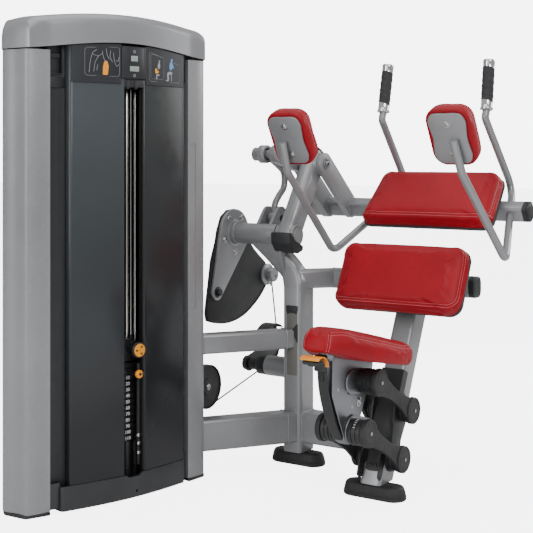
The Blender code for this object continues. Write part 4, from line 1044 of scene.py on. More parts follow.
piece("look_pin_stem", join(rod(PIN - NORMAL * 0.022, PIN + NORMAL * 0.040, 0.0050, 24), rod(PIN + NORMAL * 0.030, PIN + NORMAL * 0.0505, 0.0085, 28)), M_BLACK, "pin")
piece("look_pin_knob", turned([(0.0140, 0.0490), (0.0152, 0.0510), (0.0152, 0.0580), (0.0136, 0.0607), (0.0060, 0.0617), (0.0052, 0.0605), (0.0004, 0.0605), (0.0004, 0.0490)], pin_m, 48),
      M_ORANGE, "pin", "selector_pin")
piece("look_pin_tab", join(rod(PIN + NORMAL * 0.0545 + sdir * 0.004, PIN + NORMAL * 0.0665 + sdir * 0.018, 0.0032, 16),
                           rod(PIN + NORMAL * 0.0585, PIN + NORMAL * 0.0630, 0.0048, 20)), M_BLACK, "pin")
tc = piece("look_tower_cable", rod(tower(STACK_S, STACK_D, HEAD_TOP + 0.010), tower(STACK_S, STACK_D, 1.530), 0.0035, 20, 0), M_CHROME, "frame", "tower_cable")
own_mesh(tc)
over = [tower(STACK_S, TOP_PULLEY[0] - 0.055 * math.cos(math.radians(t)), 1.530 + 0.055 * math.sin(math.radians(t))) for t in range(-4, 100, 8)]
piece("look_cable_over", tube(over + [tower(STACK_S, 0.150, 1.585)], 0.0035, 4), M_CABLE, "frame")

# ------------------------------------------------------------------ frame
def col2_y(z):
    return COL2_Y0 + COL2_SLOPE * (z - 0.0325)


def ring_xy(w, dp, r, n=8):
    out = []
    for sx, sy, a0 in ((1, 1, 0), (-1, 1, 90), (-1, -1, 180), (1, -1, 270)):
        for k in range(n + 1):
            a = math.radians(a0 + 90 * k / n)
            out.append((sx * (w / 2 - r) + r * math.cos(a), sy * (dp / 2 - r) + r * math.sin(a)))
    return out


def upright(z0, z1, w=COL_W + 0.010, dp=COL_DP * 1.10, r=0.015):
    ring = ring_xy(w, dp, r)
    e = 0.003
    rows = [(z0, 0.985), (z0 + e, 1.0), (z1 - e, 1.0), (z1 - e * 0.3, 0.985), (z1, 0.95)]
    return loft([[(x * q, y * q + col2_y(z), z) for x, y in ring] for z, q in rows])


def sweep(points, w, h, r, up=(1, 0, 0), n=7, ups=None):
    """Rounded rectangular tube swept along a smooth path."""
    pts = [Vector(p) for p in points]
    ring = ring_xy(w, h, r, n)
    secs = []
    for i, p in enumerate(pts):
        a, b = pts[max(i - 1, 0)], pts[min(i + 1, len(pts) - 1)]
        t = (b - a).normalized()
        u = Vector(ups[i] if ups else up)
        u = (u - t * u.dot(t)).normalized()
        v = t.cross(u)
        secs.append([p + u * x + v * y for x, y in ring])
    return loft(secs)


def bead(points, r=0.0032):
    """Weld bead: a rippled ring along a closed path."""
    pts = [Vector(p) for p in points]
    fine = []
    for i, p in enumerate(pts):
        q = pts[(i + 1) % len(pts)]
        k = max(int((q - p).length / 0.0035), 1)
        fine += [p.lerp(q, j / k) for j in range(k)]
    m = len(fine)
    secs = []
    for i, p in enumerate(fine):
        t = (fine[(i + 1) % m] - fine[i - 1]).normalized()
        u = t.orthogonal().normalized()
        v = t.cross(u)
        rr = r * (1.0 + 0.16 * math.sin(i * 2.1))
        secs.append([p + u * (rr * math.cos(2 * math.pi * k / 8)) + v * (rr * math.sin(2 * math.pi * k / 8)) for k in range(8)])
    bm = bmesh.new()
    rings = [[bm.verts.new(p) for p in s] for s in secs]
    for i in range(m):
        a, b = rings[i], rings[(i + 1) % m]
        for k in range(8):
            bm.faces.new((a[k], a[(k + 1) % 8], b[(k + 1) % 8], b[k]))
    bmesh.ops.recalc_face_normals(bm, faces=bm.faces)
    return bm


def ring_at(c, t, w, h, r, up, n=6, grow=0.0):
    t = Vector(t).normalized()
    u = Vector(up)
    u = (u - t * u.dot(t)).normalized()
    v = t.cross(u)
    return [Vector(c) + u * x + v * y for x, y in ring_xy(w + grow, h + grow, r, n)]


def bolt(c, n, r, h=0.006, kind='hex', washer=True, up=(0, 0, 1)):
    """Fastener head standing on a face: socket button or hex, with a washer."""
    n = Vector(n).normalized()
    up = Vector(up)
    if abs(n.dot(up)) > 0.9:
        up = Vector((1, 0, 0))
    m = Matrix.Translation(c) @ rotation_to(n, up)
    parts = []
    if washer:
        parts.append(turned([(r * 1.45, 0), (r * 1.45, 0.0010), (r * 1.38, 0.0016), (0.0004, 0.0016), (0.0004, 0)], m, 36))
    if kind == 'hex':
        bm = rod((0, 0, 0.0012), (0, 0, h), r, 6, r * 0.10)
        bmesh.ops.transform(bm, matrix=m, verts=bm.verts)
        parts.append(bm)
        parts.append(turned([(r * 0.78, h - 0.0004), (r * 0.72, h + 0.0005), (0.0004, h + 0.0008), (0.0004, h - 0.0004)], m, 30))
    else:
        prof = [(r, 0.0012), (r, 0.0026)]
        for k in range(1, 7):
            a = math.radians(15 * k)
            prof.append((r * (0.45 + 0.55 * math.cos(a)), 0.0026 + (h - 0.0026) * math.sin(a)))
        prof += [(r * 0.42, h), (r * 0.40, h * 0.45), (0.0004, h * 0.40), (0.0004, 0.0012)]
        parts.append(turned(prof, m, 40))
    return join(*parts)


D1 = Vector((0.824, -0.567, 0))
neck = smooth_path([(COL1_X, COL1_Y, 0.610), (COL1_X, COL1_Y, 0.690), (-0.494, 0.241, 0.745), (-0.517, 0.236, 0.790), (-0.565, 0.224, 0.842),
                    (-0.615, 0.211, 0.892), (-0.650, 0.202, 0.925)], 6)
xt = smooth_path([(-0.486, 0.243, 0.640), (-0.485, 0.245, 0.700), (-0.470, 0.268, 0.742), (-0.425, 0.350, 0.752)], 6)
frame_bm = join(
    upright(FOOT_H + 0.0004, COL2_TOP),
    bar((COL1_X, COL1_Y, FOOT_H + 0.0004), (COL1_X, COL1_Y, 0.722), 0.088, 0.112, 0.018, seg=10),
    bar((-0.776, -0.196, 0.1545), (-0.479, 0.235, 0.1545), 0.090, 0.122, 0.013, D1, 8),
    bar((-0.776, -0.196, 0.5120), (-0.479, 0.235, 0.5120), 0.070, 0.078, 0.012, D1, 8),
    bar((COL1_X, COL1_Y, 0.1550), (-0.050, COL1_Y, 0.1550), 0.100, 0.122, 0.013, (0, 1, 0), 8),
    bar((-0.085, 0.255, 0.1550), (-0.004, 0.078, 0.1550), 0.072, 0.118, 0.012, (0.909, 0.416, 0), 8),
    bar((-0.410, 0.375, 0.750), (0.220, 0.375, 0.750), 0.070, 0.080, 0.014, (0, 1, 0), 8),
    bar((-0.375, 0.400, 0.750), (-0.500, 0.215, 0.752), 0.064, 0.0785, 0.014, (0.85, -0.52, 0), 8),
    sweep(neck, 0.074, 0.088, 0.020, (0, 1, 0)),
    loft([[(x + cx, y + cy, z) for x, y in ring_xy(w, d, 0.017)] for cx, cy, z, w, d in ((COL1_X, COL1_Y, 0.700, 0.0876, 0.1116), (COL1_X, COL1_Y, 0.722, 0.0876, 0.1116), (-0.490, 0.242, 0.745, 0.092, 0.104), (-0.500, 0.240, 0.775, 0.090, 0.092), (-0.514, 0.237, 0.800, 0.080, 0.080))]),
    rod_x(O1, -0.765, -0.552, HOUSE_R, 56, 0.002),
    rod_x(O1, -0.7665, -0.748, HOUSE_R + 0.005, 56, 0.002),
    flat(wrap([(ROD_F[0], ROD_F[1] + 0.006, 0.044), (O1[0] + 0.030, O1[1] + 0.010, 0.022), (O1[0] - 0.005, O1[1] + 0.020, 0.018)]), -0.658, -0.644, bev=0.0015),
    flat(wrap([(ROD_F[0], ROD_F[1] + 0.006, 0.044), (O1[0] + 0.030, O1[1] + 0.010, 0.022), (O1[0] - 0.005, O1[1] + 0.020, 0.018)]), -0.596, -0.582, bev=0.0015),
    rod_x(STUB, -0.500, -0.653, 0.042, 56, 0.002),
    bar((-0.10, 0.2905, 0.752), (0.10, 0.2905, 0.752), 0.056, 0.050, 0.010, (0, 0.906, -0.423)),
    bar((0.0, 0.285, 0.757), (0.0, 0.350, 0.730), 0.070, 0.050, 0.010, (1, 0, 0)),
)
# gusset plate between neck and housing
frame_bm = join(frame_bm, flat(rounded_loop([(0.150, 0.900), (0.240, 0.905), (0.262, 0.800), (0.240, 0.700), (0.212, 0.720), (0.180, 0.800)], 0.015, 5), -0.530, -0.522, bev=0.0015))
piece("look_main_frame", frame_bm, M_FRAME, "frame", "main_frame", angle=40)

beads = [
    bead(ring_at((-0.516, 0.181, 0.512), (0.290, 0.421, 0), 0.0702, 0.0782, 0.012, D1)),
    bead(ring_at((-0.516, 0.181, 0.1545), (0.290, 0.421, 0), 0.0902, 0.1222, 0.013, D1)),
    bead(ring_at((-0.4405, 0.243, 0.155), (1, 0, 0), 0.1002, 0.1222, 0.013, (0, 1, 0))),
    bead(ring_at((-0.398, 0.375, 0.750), (1, 0.35, 0), 0.0665, 0.0795, 0.020, (0, 1, 0)), 0.0026),
    bead([(-0.5255, STUB[0] + 0.042 * math.cos(2 * math.pi * k / 40), STUB[1] + 0.042 * math.sin(2 * math.pi * k / 40)) for k in range(40)], 0.0026),
    bead([(-0.5515 - 0.0, O1[0] + HOUSE_R * math.cos(2 * math.pi * k / 40), O1[1] + HOUSE_R * math.sin(2 * math.pi * k / 40)) for k in range(40)], 0.0022),
]
piece("look_frame_welds", join(*beads), M_FRAME, "frame", angle=60)

# inset panel and black slot guard on the rear column, looking out past the tower
M_TAUPE = painted("taupe_inset", (98, 96, 91), 0.45, 0.1)
face_x0, face_x1 = COL1_X - 0.020, COL1_X + 0.029
inset = rounded_loop([(face_x0, 0.366), (face_x1, 0.366), (face_x1, 0.627), (face_x0, 0.627)], 0.004, 4)
FRONT1 = Matrix(((1, 0, 0, 0), (0, 0, -1, 0), (0, 1, 0, 0), (0, 0, 0, 1)))
FRONT1 = Matrix.Translation((0, COL1_Y - 0.0565, 0)) @ FRONT1
piece("look_column_inset", flat(inset, -0.002, 0.0012, FRONT1, 0.0008), M_TAUPE, "frame")
guard = rounded_loop([(face_x0 - 0.003, 0.630), (face_x0 + 0.003, 0.611), (face_x0 + 0.012, 0.618), (face_x1 - 0.012, 0.618), (face_x1 - 0.003, 0.611), (face_x1 + 0.002, 0.630),
                      (face_x1 + 0.002, 0.648), (face_x0 - 0.003, 0.648)], 0.003, 4)
piece("look_column_guard", flat(guard, -0.002, 0.003, FRONT1, 0.001), M_BLACK, "frame")
tri = rounded_loop([(face_x1 - 0.027, 0.548), (face_x1, 0.576), (face_x1 + 0.002, 0.572), (face_x1 + 0.002, 0.500), (face_x1, 0.496)], 0.003, 3)
# dark wedge at the inset's edge, in the painted-shade near-black
piece("look_column_dark_wedge", flat(tri, -0.001, 0.0020, FRONT1, 0.0008), M_PAINTED_SHADE, "frame")


def stadium(cx, cy, lx, ly, n=16):
    r = ly / 2
    pts = []
    for sgn, a0 in ((1, -90), (-1, 90)):
        for k in range(n + 1):
            a = math.radians(a0 + 180 * k / n)
            pts.append((cx + sgn * (lx / 2 - r) + r * math.cos(a), cy + r * math.sin(a)))
    return pts


def foot(cx, cy, lx, ly, h=FOOT_H):
    """Moulded rubber foot: flared skirt, rolled upper edge and a shallow waist line."""
    rows = [(0.0, 0.010), (0.0015, 0.006), (0.004, 0.004), (0.012, 0.0035), (0.0135, 0.0050), (0.0150, 0.0040), (0.030, 0.0075),
            (h - 0.009, 0.0115), (h - 0.005, 0.0135), (h - 0.002, 0.0175), (h - 0.0005, 0.0225), (h, 0.028)]
    return loft([[(x, y, z) for x, y in stadium(cx, cy, lx - q * 2 + 0.007, ly - q * 2 + 0.007)] for z, q in rows])


piece("look_front_foot", foot(0, 0, 0.250, 0.100), M_RUBBER, "frame", "front_foot", angle=50)
piece("look_rear_foot", foot(COL1_X, COL1_Y, 0.240, 0.100), M_RUBBER, "frame", "rear_foot", angle=50)


def tube_cap(p0, p1, w, h, r, up):
    """Ribbed plastic end cap with a domed face."""
    p0, p1 = Vector(p0), Vector(p1)
    t = (p1 - p0).normalized()
    L = (p1 - p0).length
    rows = [(0.0, 0.0), (L * 0.55, 0.0), (L * 0.60, -0.002), (L * 0.66, -0.002), (L * 0.70, 0.0), (L * 0.86, -0.001), (L * 0.96, -0.006), (L, -0.013)]
    return loft([ring_at(p0 + t * a, t, w, h, r, up, 7, g * 2) for a, g in rows])


piece("look_cross_cap", tube_cap((0.2204, 0.375, 0.750), (0.246, 0.375, 0.750), 0.072, 0.082, 0.024, (0, 1, 0)), M_BLACK, "frame", "cross_tube_cap", angle=45)

# seat link bracket: black cheeks on the front column with a knob, and the lower clamp
bk = join(
    flat(wrap([(LB[0], LB[1], 0.052), (LB[0] - 0.004, LB[1] + 0.034, 0.028), (LB[0] - 0.040, LB[1] + 0.040, 0.014), (LD[0] + 0.012, LD[1] + 0.030, 0.030)]), 0.0405, 0.052, bev=0.002),
    flat(wrap([(LB[0], LB[1], 0.052), (LB[0] - 0.004, LB[1] + 0.034, 0.028), (LB[0] - 0.040, LB[1] + 0.040, 0.014), (LD[0] + 0.012, LD[1] + 0.030, 0.030)]), -0.052, -0.0405, bev=0.002),
    flat(wrap([(LD[0], LD[1], 0.051), (LD[0] + 0.046, LD[1] + 0.080, 0.026)]), 0.0410, 0.0515, bev=0.002),
    flat(wrap([(LD[0], LD[1], 0.051), (LD[0] + 0.046, LD[1] + 0.080, 0.026)]), -0.0515, -0.0410, bev=0.002),
    rod((0.058, LB[0] - 0.030, LB[1] + 0.056), (0.030, LB[0] - 0.030, LB[1] + 0.056), 0.009, 32, 0.002))
piece("look_link_bracket", bk, M_STEEL, "frame")
hubs = [rod_x(LB, -0.0525, 0.0525, HUB_R - 0.002, 56, 0.002), rod_x(LD, -0.0525, 0.0525, HUB_R - 0.002, 56, 0.002)]
for c in (LB, LD):
    for sg in (1, -1):
        prof = [(HUB_R - 0.001, 0.050), (HUB_R - 0.001, 0.062), (HUB_R - 0.003, 0.0635), (HUB_R - 0.003, 0.066), (HUB_R, 0.0675), (HUB_R, 0.082), (HUB_R - 0.0025, 0.0835),
                (HUB_R - 0.0025, 0.0855), (HUB_R, 0.087), (HUB_R, 0.0945), (HUB_R - 0.002, 0.0960), (0.014, 0.0960), (0.014, 0.050)]
        m = Matrix.Translation((0, *c)) @ rotation_to((sg, 0, 0), (0, 1, 0))
        hubs.append(turned([(q, 0.040 + (x - 0.040) * 0.705) for q, x in prof], m, 64))
piece("look_column_hubs", join(*hubs), M_BLACK, "frame")

# clamp low on the front of the column, with two socket screws
tz = Vector((0, COL2_SLOPE, 1)).normalized()
fn = Vector((0, -1, COL2_SLOPE)).normalized()
CL = Matrix.Translation((0, col2_y(0.150) - COL_DP * 0.53, 0.150)) @ Matrix(((1, 0, 0), (0, tz.y, tz.z), (0, fn.y, fn.z))).transposed().to_4x4()
clamp_pl = flat(rounded_loop([(-0.026, -0.058), (0.026, -0.058), (0.030, 0.066), (-0.030, 0.066)], 0.010, 5), -0.004, 0.010, CL, 0.002,
                holes=([(-0.010 + 0.0, 0.014), (0.010, 0.014), (0.010, 0.036), (-0.010, 0.036)],))
HW = COL_W / 2 + 0.005
chan = flat(rounded_loop([(-HW - 0.0024, -0.030), (HW + 0.0024, -0.030), (HW + 0.0024, 0.330), (-HW - 0.0024, 0.330)], 0.005, 4), -0.0030, 0.0040, CL, 0.001)
cheeks = [box((sg * (HW + 0.0013) - 0.0012, -0.030, -0.034), (sg * (HW + 0.0013) + 0.0012, 0.330, 0.002), 0.0008, 1, CL) for sg in (1, -1)]
piece("look_clamp", join(clamp_pl, chan, *cheeks, box((-0.016, 0.040, 0.008), (0.016, 0.060, 0.014), 0.002, 2, CL)), M_BLACK, "frame")
piece("look_clamp_bolts", join(*[bolt(CL @ Vector((x, -0.038, 0.010)), fn, 0.0085, 0.006, 'button', True) for x in (-0.0125, 0.0125)]), M_STEEL, "frame")
# swept gusset under the seat linkage, between the long tube and the column
gus = rounded_loop([(0.100, 0.222), (0.020, 0.214), (-0.036, 0.150), (-0.058, 0.086), (-0.040, 0.070), (-0.024, 0.074), (0.010, 0.130), (0.060, 0.190), (0.110, 0.200)], 0.012, 6)
piece("look_gusset", join(flat(gus, -0.046, -0.039, bev=0.0018), flat(gus, 0.0392, 0.0405, bev=0.0004)), M_STEEL, "frame")

# pulley bracket and pulleys
pb = join(flat(wrap([(P1[0], P1[1], 0.022), (-0.078, P1[1], 0.022)]), -0.8170, -0.8080, bev=0.0015),
          flat(wrap([(P2[0], P2[1], 0.030), (STUB[0], STUB[1], 0.034)]), -0.7544, -0.7444, bev=0.0015),
          rod_x(P1, -0.777, -0.812, 0.0085, 32), rod_x(P2, -0.745, -0.804, 0.0085, 32),
          rod_x(P1, -0.8040, -0.8120, 0.0150, 40), rod_x(P2, -0.745, -0.777, 0.0150, 40),
          rod_x(STUB, -0.6535, -0.6950, 0.0405, 56, 0.004), rod_x(STUB, -0.690, -0.7440, 0.0260, 48, 0.002), rod_x(STUB, -0.7440, -0.770, 0.030, 48, 0.003))
piece("look_pulley_bracket", pb, M_STEEL, "frame", "pulley_bracket")
AXM = Matrix(((0, 0, 1, 0), (1, 0, 0, 0), (0, 1, 0, 0), (0, 0, 0, 1)))
for nm, c in (("low_pulley", P1), ("rear_pulley", P2)):
    piece("look_" + nm, turned(sheave(PULLEY_R, 0.0090, 0.0115), Matrix.Translation((CAM_X, c[0], c[1])) @ AXM, 72), M_BLACK, nm, nm)
    piece("look_" + nm + "_bolt", join(bolt((CAM_X - 0.0145, c[0], c[1]), (-1, 0, 0), 0.0095, 0.006, 'hex'), bolt((CAM_X + 0.0125, c[0], c[1]), (1, 0, 0), 0.0085, 0.006, 'button')),
          M_BOLT, nm)
# guard plate over the rear pulley
gp = strip([(P2[0] + 0.096 * math.cos(math.radians(a)), P2[1] + 0.096 * math.sin(math.radians(a))) for a in range(52, 171, 6)], 0.0035)
piece("look_cable_guard", join(flat(gp, -0.802, -0.744, bev=0.001),
                               flat(wrap([(P2[0] - 0.062, P2[1] + 0.062, 0.012), (P2[0], P2[1], 0.016), (P2[0] - 0.02, P2[1] + 0.084, 0.008)]), -0.7535, -0.7475, bev=0.0012)),
      M_STEEL, "frame")


def arc_yz(c, r, a0, a1, n):
    return [(CAM_X, c[0] + r * math.cos(math.radians(a0 + (a1 - a0) * i / n)),
             c[1] + r * math.sin(math.radians(a0 + (a1 - a0) * i / n))) for i in range(n + 1)]


RC = PULLEY_R - 0.0045
TANGENT = math.degrees(math.atan2(P2[1] - P1[1], P2[0] - P1[0])) - 90
low_run = arc_yz(P2, RC, 4, TANGENT, 24) + arc_yz(P1, RC, TANGENT, -90, 10) + [(CAM_X, -0.080, P1[1] - RC)]
piece("look_lower_cable", tube(low_run, 0.0034, 5), M_CABLE, "frame", "lower_cable", angle=60)
C0 = Vector((CAM_X, P2[0] + RC * math.cos(math.radians(4)), P2[1] + RC * math.sin(math.radians(4))))
C1 = Vector((CAM_X, ANCHOR[0] + 0.046, ANCHOR[1] - 0.020))
uc = tube([C0.lerp(C1, i / 24) for i in range(25)], 0.0034, 5)
me = bpy.data.meshes.new("look_upper_cable")
uc.to_mesh(me)
uc.free()
me.materials.append(M_CABLE)
me.shade_smooth()
uco = bpy.data.objects.new("look_upper_cable", me)
SCENE.collection.objects.link(uco)
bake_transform(uco)
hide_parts("upper_cable")

# ------------------------------------------------------------------ movement arm
arm_mid = (ARM_X0 + ARM_X1) / 2
ad = Vector((0, O2[0] - O1[0], O2[1] - O1[1])).normalized()
o1v, o2v = Vector((arm_mid, *O1)), Vector((arm_mid, *O2))
arm = join(bar(o1v - ad * 0.034, o2v + ad * 0.046, 0.072, 0.104, 0.030, (1, 0, 0), 16, 0.0015),
           rod_x(O1, ARM_X0, ARM_X1, 0.0450, 64, 0.003), rod_x(O2, ARM_X0, ARM_X1, 0.047, 64, 0.003))
piece("look_main_arm", arm, M_FRAME, "main_arm", "main_arm")
capc = o2v + ad * 0.046
rows = [(0.0, 0.0), (0.006, 0.0), (0.009, -0.001), (0.0125, -0.004), (0.0145, -0.010), (0.0155, -0.018)]
piece("look_arm_top_cap", loft([ring_at(capc + ad * a, ad, 0.074, 0.106, 0.031, (1, 0, 0), 10, g * 2) for a, g in rows]), M_BLACK, "main_arm", angle=45)
piece("look_arm_plug", turned([(0.0305, 0.0), (0.0305, 0.0014), (0.0296, 0.0022), (0.0004, 0.0026), (0.0004, 0.0)],
                              Matrix.Translation((ARM_X1 + 0.0004, *O1)) @ rotation_to((1, 0, 0), (0, 1, 0)), 56), M_FRAME, "main_arm", "arm_plug")
piece("look_pivot_shaft", rod_x(O1, ARM_X0 - 0.0004, -0.7704, SHAFT_R, 56), M_CHROME, "main_arm", "pivot_shaft")


# crescent collar round the foot of the arm
def crescent(r_in, grow, a0, a1, n=44):
    outer, inner = [], []
    for i in range(n + 1):
        f = i / n
        a = math.radians(a0 + (a1 - a0) * f)
        g = grow * math.sin(math.pi * f) ** 0.7
        outer.append((O1[0] + (r_in + 0.002 + g) * math.cos(a), O1[1] + (r_in + 0.002 + g) * math.sin(a)))
        inner.append((O1[0] + r_in * math.cos(a), O1[1] + r_in * math.sin(a)))
    return outer + inner[::-1]


foot_band = rounded_loop([(0.1290, 0.9450), (0.1420, 0.9470), (0.1760, 0.9120), (0.2340, 0.8870), (0.2300, 0.8690), (0.1950, 0.8590), (0.1560, 0.8700), (0.1320, 0.9020)], 0.008, 6)
piece("look_arm_collar", flat(foot_band, ARM_X0 - 0.003, ARM_X1 + 0.0040, bev=0.003, res=3), M_BLACK, "main_arm", angle=30)

lev = flat(wrap([(O1[0], O1[1], 0.100), (LEVER_END[0], LEVER_END[1], 0.034)], 96), -0.7834, -0.7708, bev=0.0020)
piece("look_cam_lever", lev, M_FRAME, "main_arm", "cam_lever")
lb = []
for a in (54, 126, 198, 270, 342):
    y, z = O1[0] + 0.078 * math.cos(math.radians(a)), O1[1] + 0.078 * math.sin(math.radians(a))
    lb.append(bolt((-0.7708, y, z), (1, 0, 0), 0.0105, 0.0070, 'button'))
piece("look_lever_screws", join(*lb), M_BOLT, "main_arm")
piece("look_lever_flange", turned([(0.056, 0.0), (0.056, 0.003), (0.053, 0.005), (0.045, 0.005), (0.045, 0.0)],
                                  Matrix.Translation((-0.7710, *O1)) @ rotation_to((1, 0, 0), (0, 1, 0)), 64), M_FRAME, "main_arm")
piece("look_lever_bolt", bolt((-0.7708, *LEVER_END), (1, 0, 0), 0.0160, 0.0145, 'hex'), M_STEEL, "main_arm", "lever_bolt")
def cam_r(a):
    return float(np.interp(-a, [43, 65, 78, 90, 101, 111, 118], [0.352, 0.359, 0.368, 0.375, 0.382, 0.389, 0.394]))


cam_arc = [(O1[0] + cam_r(a) * math.cos(math.radians(a)), O1[1] + cam_r(a) * math.sin(math.radians(a))) for a in np.arange(-116, -43, 1.5)]
nose = smooth_path([(0.452, 0.700, 0), (0.455, 0.742, 0), (0.443, 0.787, 0), (0.392, 0.826, 0), (0.340, 0.870, 0), (0.306, 0.928, 0), (0.270, 0.985, 0)], 5)
cam_out = cam_arc + [(p.x, p.y) for p in nose] + [(O1[0] + 0.02 + 0.0, O1[1] + 0.100), (O1[0] - 0.03, O1[1] + 0.096), (O1[0] - 0.072, O1[1] + 0.070), (O1[0] - 0.100, O1[1] + 0.01),
                                                  (0.0850, 0.900), (0.0530, 0.822), (0.0385, 0.739), (0.0225, 0.658), (0.0150, 0.610)]
cam_pl = flat(cam_out, -0.7997, -0.7838, bev=0.002)
piece("look_cam", cam_pl, M_CAM, "main_arm", "cam")
# cable track standing round the cam's working edge
track = strip([(O1[0] + (cam_r(a) - 0.004) * math.cos(math.radians(a)), O1[1] + (cam_r(a) - 0.004) * math.sin(math.radians(a))) for a in np.arange(-115, -42, 2.0)], 0.006)
piece("look_cam_track", join(flat(track, -0.8015, -0.7975, bev=0.001), flat(track, -0.7850, -0.7815, bev=0.001)), M_CAM, "main_arm")
am = Matrix.Translation((-0.7836, *ANCHOR)) @ rotation_to((1, 0, 0), (0, 1, 0))
anch = turned([(0.047, 0.0), (0.047, 0.007), (0.044, 0.0095), (0.034, 0.0100), (0.031, 0.0115), (0.031, 0.0400), (0.029, 0.0430), (0.0004, 0.0440), (0.0004, 0.0)], am, 56)
piece("look_cable_anchor", join(anch, rod_x((ANCHOR[0] + 0.010, ANCHOR[1] - 0.006), -0.742, -0.734, 0.006, 20)), M_FRAME, "main_arm", "cable_anchor")
clampc = Vector((CAM_X, ANCHOR[0] + 0.046, ANCHOR[1] - 0.030))
piece("look_cable_end", join(rod(clampc + Vector((0, 0.0006, -0.026)), clampc + Vector((0, 0, 0.020)), 0.0062, 24), rod(clampc + Vector((0, 0, -0.006)), clampc + Vector((0, 0, 0.004)), 0.0080, 24)),
      M_BOLT, "main_arm")

# ------------------------------------------------------------------ upper stage
def handle(side):
    pts = [(0.353, -0.0816, 1.3065), (0.362, -0.030, 1.190), (0.374, 0.333, 0.862), (0.239, 0.735, 1.120),
           (0.2286, 0.479, 1.405), (0.229, 0.492, 1.431), (0.225, 0.529, 1.628)]
    return rounded([(side * x, y, z) for x, y, z in pts], [0.045, 0.050, 0.060, 0.060, 0.0], 14)


BARUP = Vector((0, 0.848, 0.53))
ch = join(
    flat(wrap([(O2[0], O2[1], 0.046), (BAR[0], BAR[1], 0.046)], 72), ARM_X1 + 0.0006, -0.436, bev=0.003, res=3),
    flat(wrap([(O2[0], O2[1], 0.044), (BAR[0], BAR[1], 0.046)], 72), -0.5790, -0.5454, bev=0.003, res=3),
    flat(wrap([(O2[0], O2[1], 0.040), (CRANK[0], CRANK[1], 0.036)], 72), -0.5775, -0.5470, bev=0.003, res=3),
    rod_x(CRANK, -0.565, -0.6650, 0.0180, 48, 0.002), rod_x(CRANK, -0.6405, -0.6680, 0.0280, 48, 0.002),
    bar((-0.620, *BAR), (0.3455, *BAR), 0.060, 0.070, 0.014, BARUP, 8),
    bar((-0.085, BAR[0], BAR[1]), (-0.085, BAR[0] - 0.034, BAR[1] + 0.034), 0.040, 0.040, 0.008),
    bar((0.085, BAR[0], BAR[1]), (0.085, BAR[0] - 0.034, BAR[1] + 0.034), 0.040, 0.040, 0.008),
    tube(handle(1), HANDLE_R + 0.0018, 10), tube(handle(-1), HANDLE_R + 0.0018, 10))
piece("look_upper_frame", ch, M_FRAME, "upper_arm", "upper_arm_frame", angle=42)
ub = [bead(ring_at((x, *BAR), (1, 0, 0), 0.0602, 0.0702, 0.014, BARUP), 0.0024) for x in (-0.4345, -0.4625, -0.5445, -0.5800)]
piece("look_upper_welds", join(*ub), M_FRAME, "upper_arm", angle=60)
piece("look_upper_shaft", rod_x(O2, ARM_X0 + 0.0004, ARM_X1 - 0.0004, 0.020, 40), M_CHROME, "upper_arm", "upper_pivot_shaft")
piece("look_arm_bolt", join(turned([(0.0235, 0.0), (0.0235, 0.0028), (0.0222, 0.0040), (0.0150, 0.0040), (0.0142, 0.0030), (0.0142, 0.0)], Matrix.Translation((-0.4358, *O2)) @ rotation_to((1, 0, 0), (0, 1, 0)), 56),
                            bolt((-0.4350, *O2), (1, 0, 0), 0.0128, 0.0085, 'button', False)), M_BRUSH, "upper_arm", "arm_bolt")
piece("look_bar_end_cap", tube_cap((0.3459, *BAR), (0.3755, *BAR), 0.062, 0.072, 0.016, BARUP), M_BLACK, "upper_arm", "bar_end_cap", angle=45)
piece("look_bar_left_cap", tube_cap((-0.6200, *BAR), (-0.632, *BAR), 0.060, 0.070, 0.019, BARUP), M_BLACK, "upper_arm", angle=45)

G0, G1 = Vector((0.229, 0.4925, 1.4335)), Vector((0.225, 0.529, 1.628))
for nm, sd in (("left_grip", 1), ("right_grip", -1)):
    a, b = Vector((sd * G0.x, G0.y, G0.z)), Vector((sd * G1.x, G1.y, G1.z))
    u = (b - a).normalized()
    L = (b - a).length
    gm = Matrix.Translation(a) @ rotation_to(u, (1, 0, 0))
    # sleeve with slanted ends and shallow waves
    secs = []
    for i in range(49):
        f = i / 48
        r = 0.0242 + 0.0006 * math.cos(f * math.pi * 10)
        if i in (0, 48):
            r = 0.0215
        if i in (1, 47):
            r = 0.0236
        ringp = []
        for k in range(48):
            t = 2 * math.pi * k / 48
            z0 = 0.034 + 0.007 * math.cos(t + 2.4)
            z1 = L - 0.024 + 0.004 * math.cos(t + 2.4)
            ringp.append(gm @ Vector((r * math.cos(t), r * math.sin(t), z0 + (z1 - z0) * f)))
        secs.append(ringp)
    piece("look_" + nm, loft(secs), M_GRIP, "upper_arm", nm, angle=60)
    lo_c = turned([(0.0140, 0.002), (0.0248, 0.002), (0.0258, 0.004), (0.0258, 0.0085), (0.0240, 0.0100), (0.0228, 0.012), (0.0228, 0.044), (0.0140, 0.044)], gm, 56)
    hi_c = turned([(0.0004, L - 0.034), (0.0230, L - 0.034), (0.0232, L - 0.006), (0.0240, L - 0.004), (0.0240, L + 0.003), (0.0220, L + 0.0065), (0.0150, L + 0.0078), (0.0004, L + 0.0078)], gm, 56)
    piece("look_" + nm + "_collars", join(lo_c, hi_c), M_CHROME, "upper_arm", angle=40)

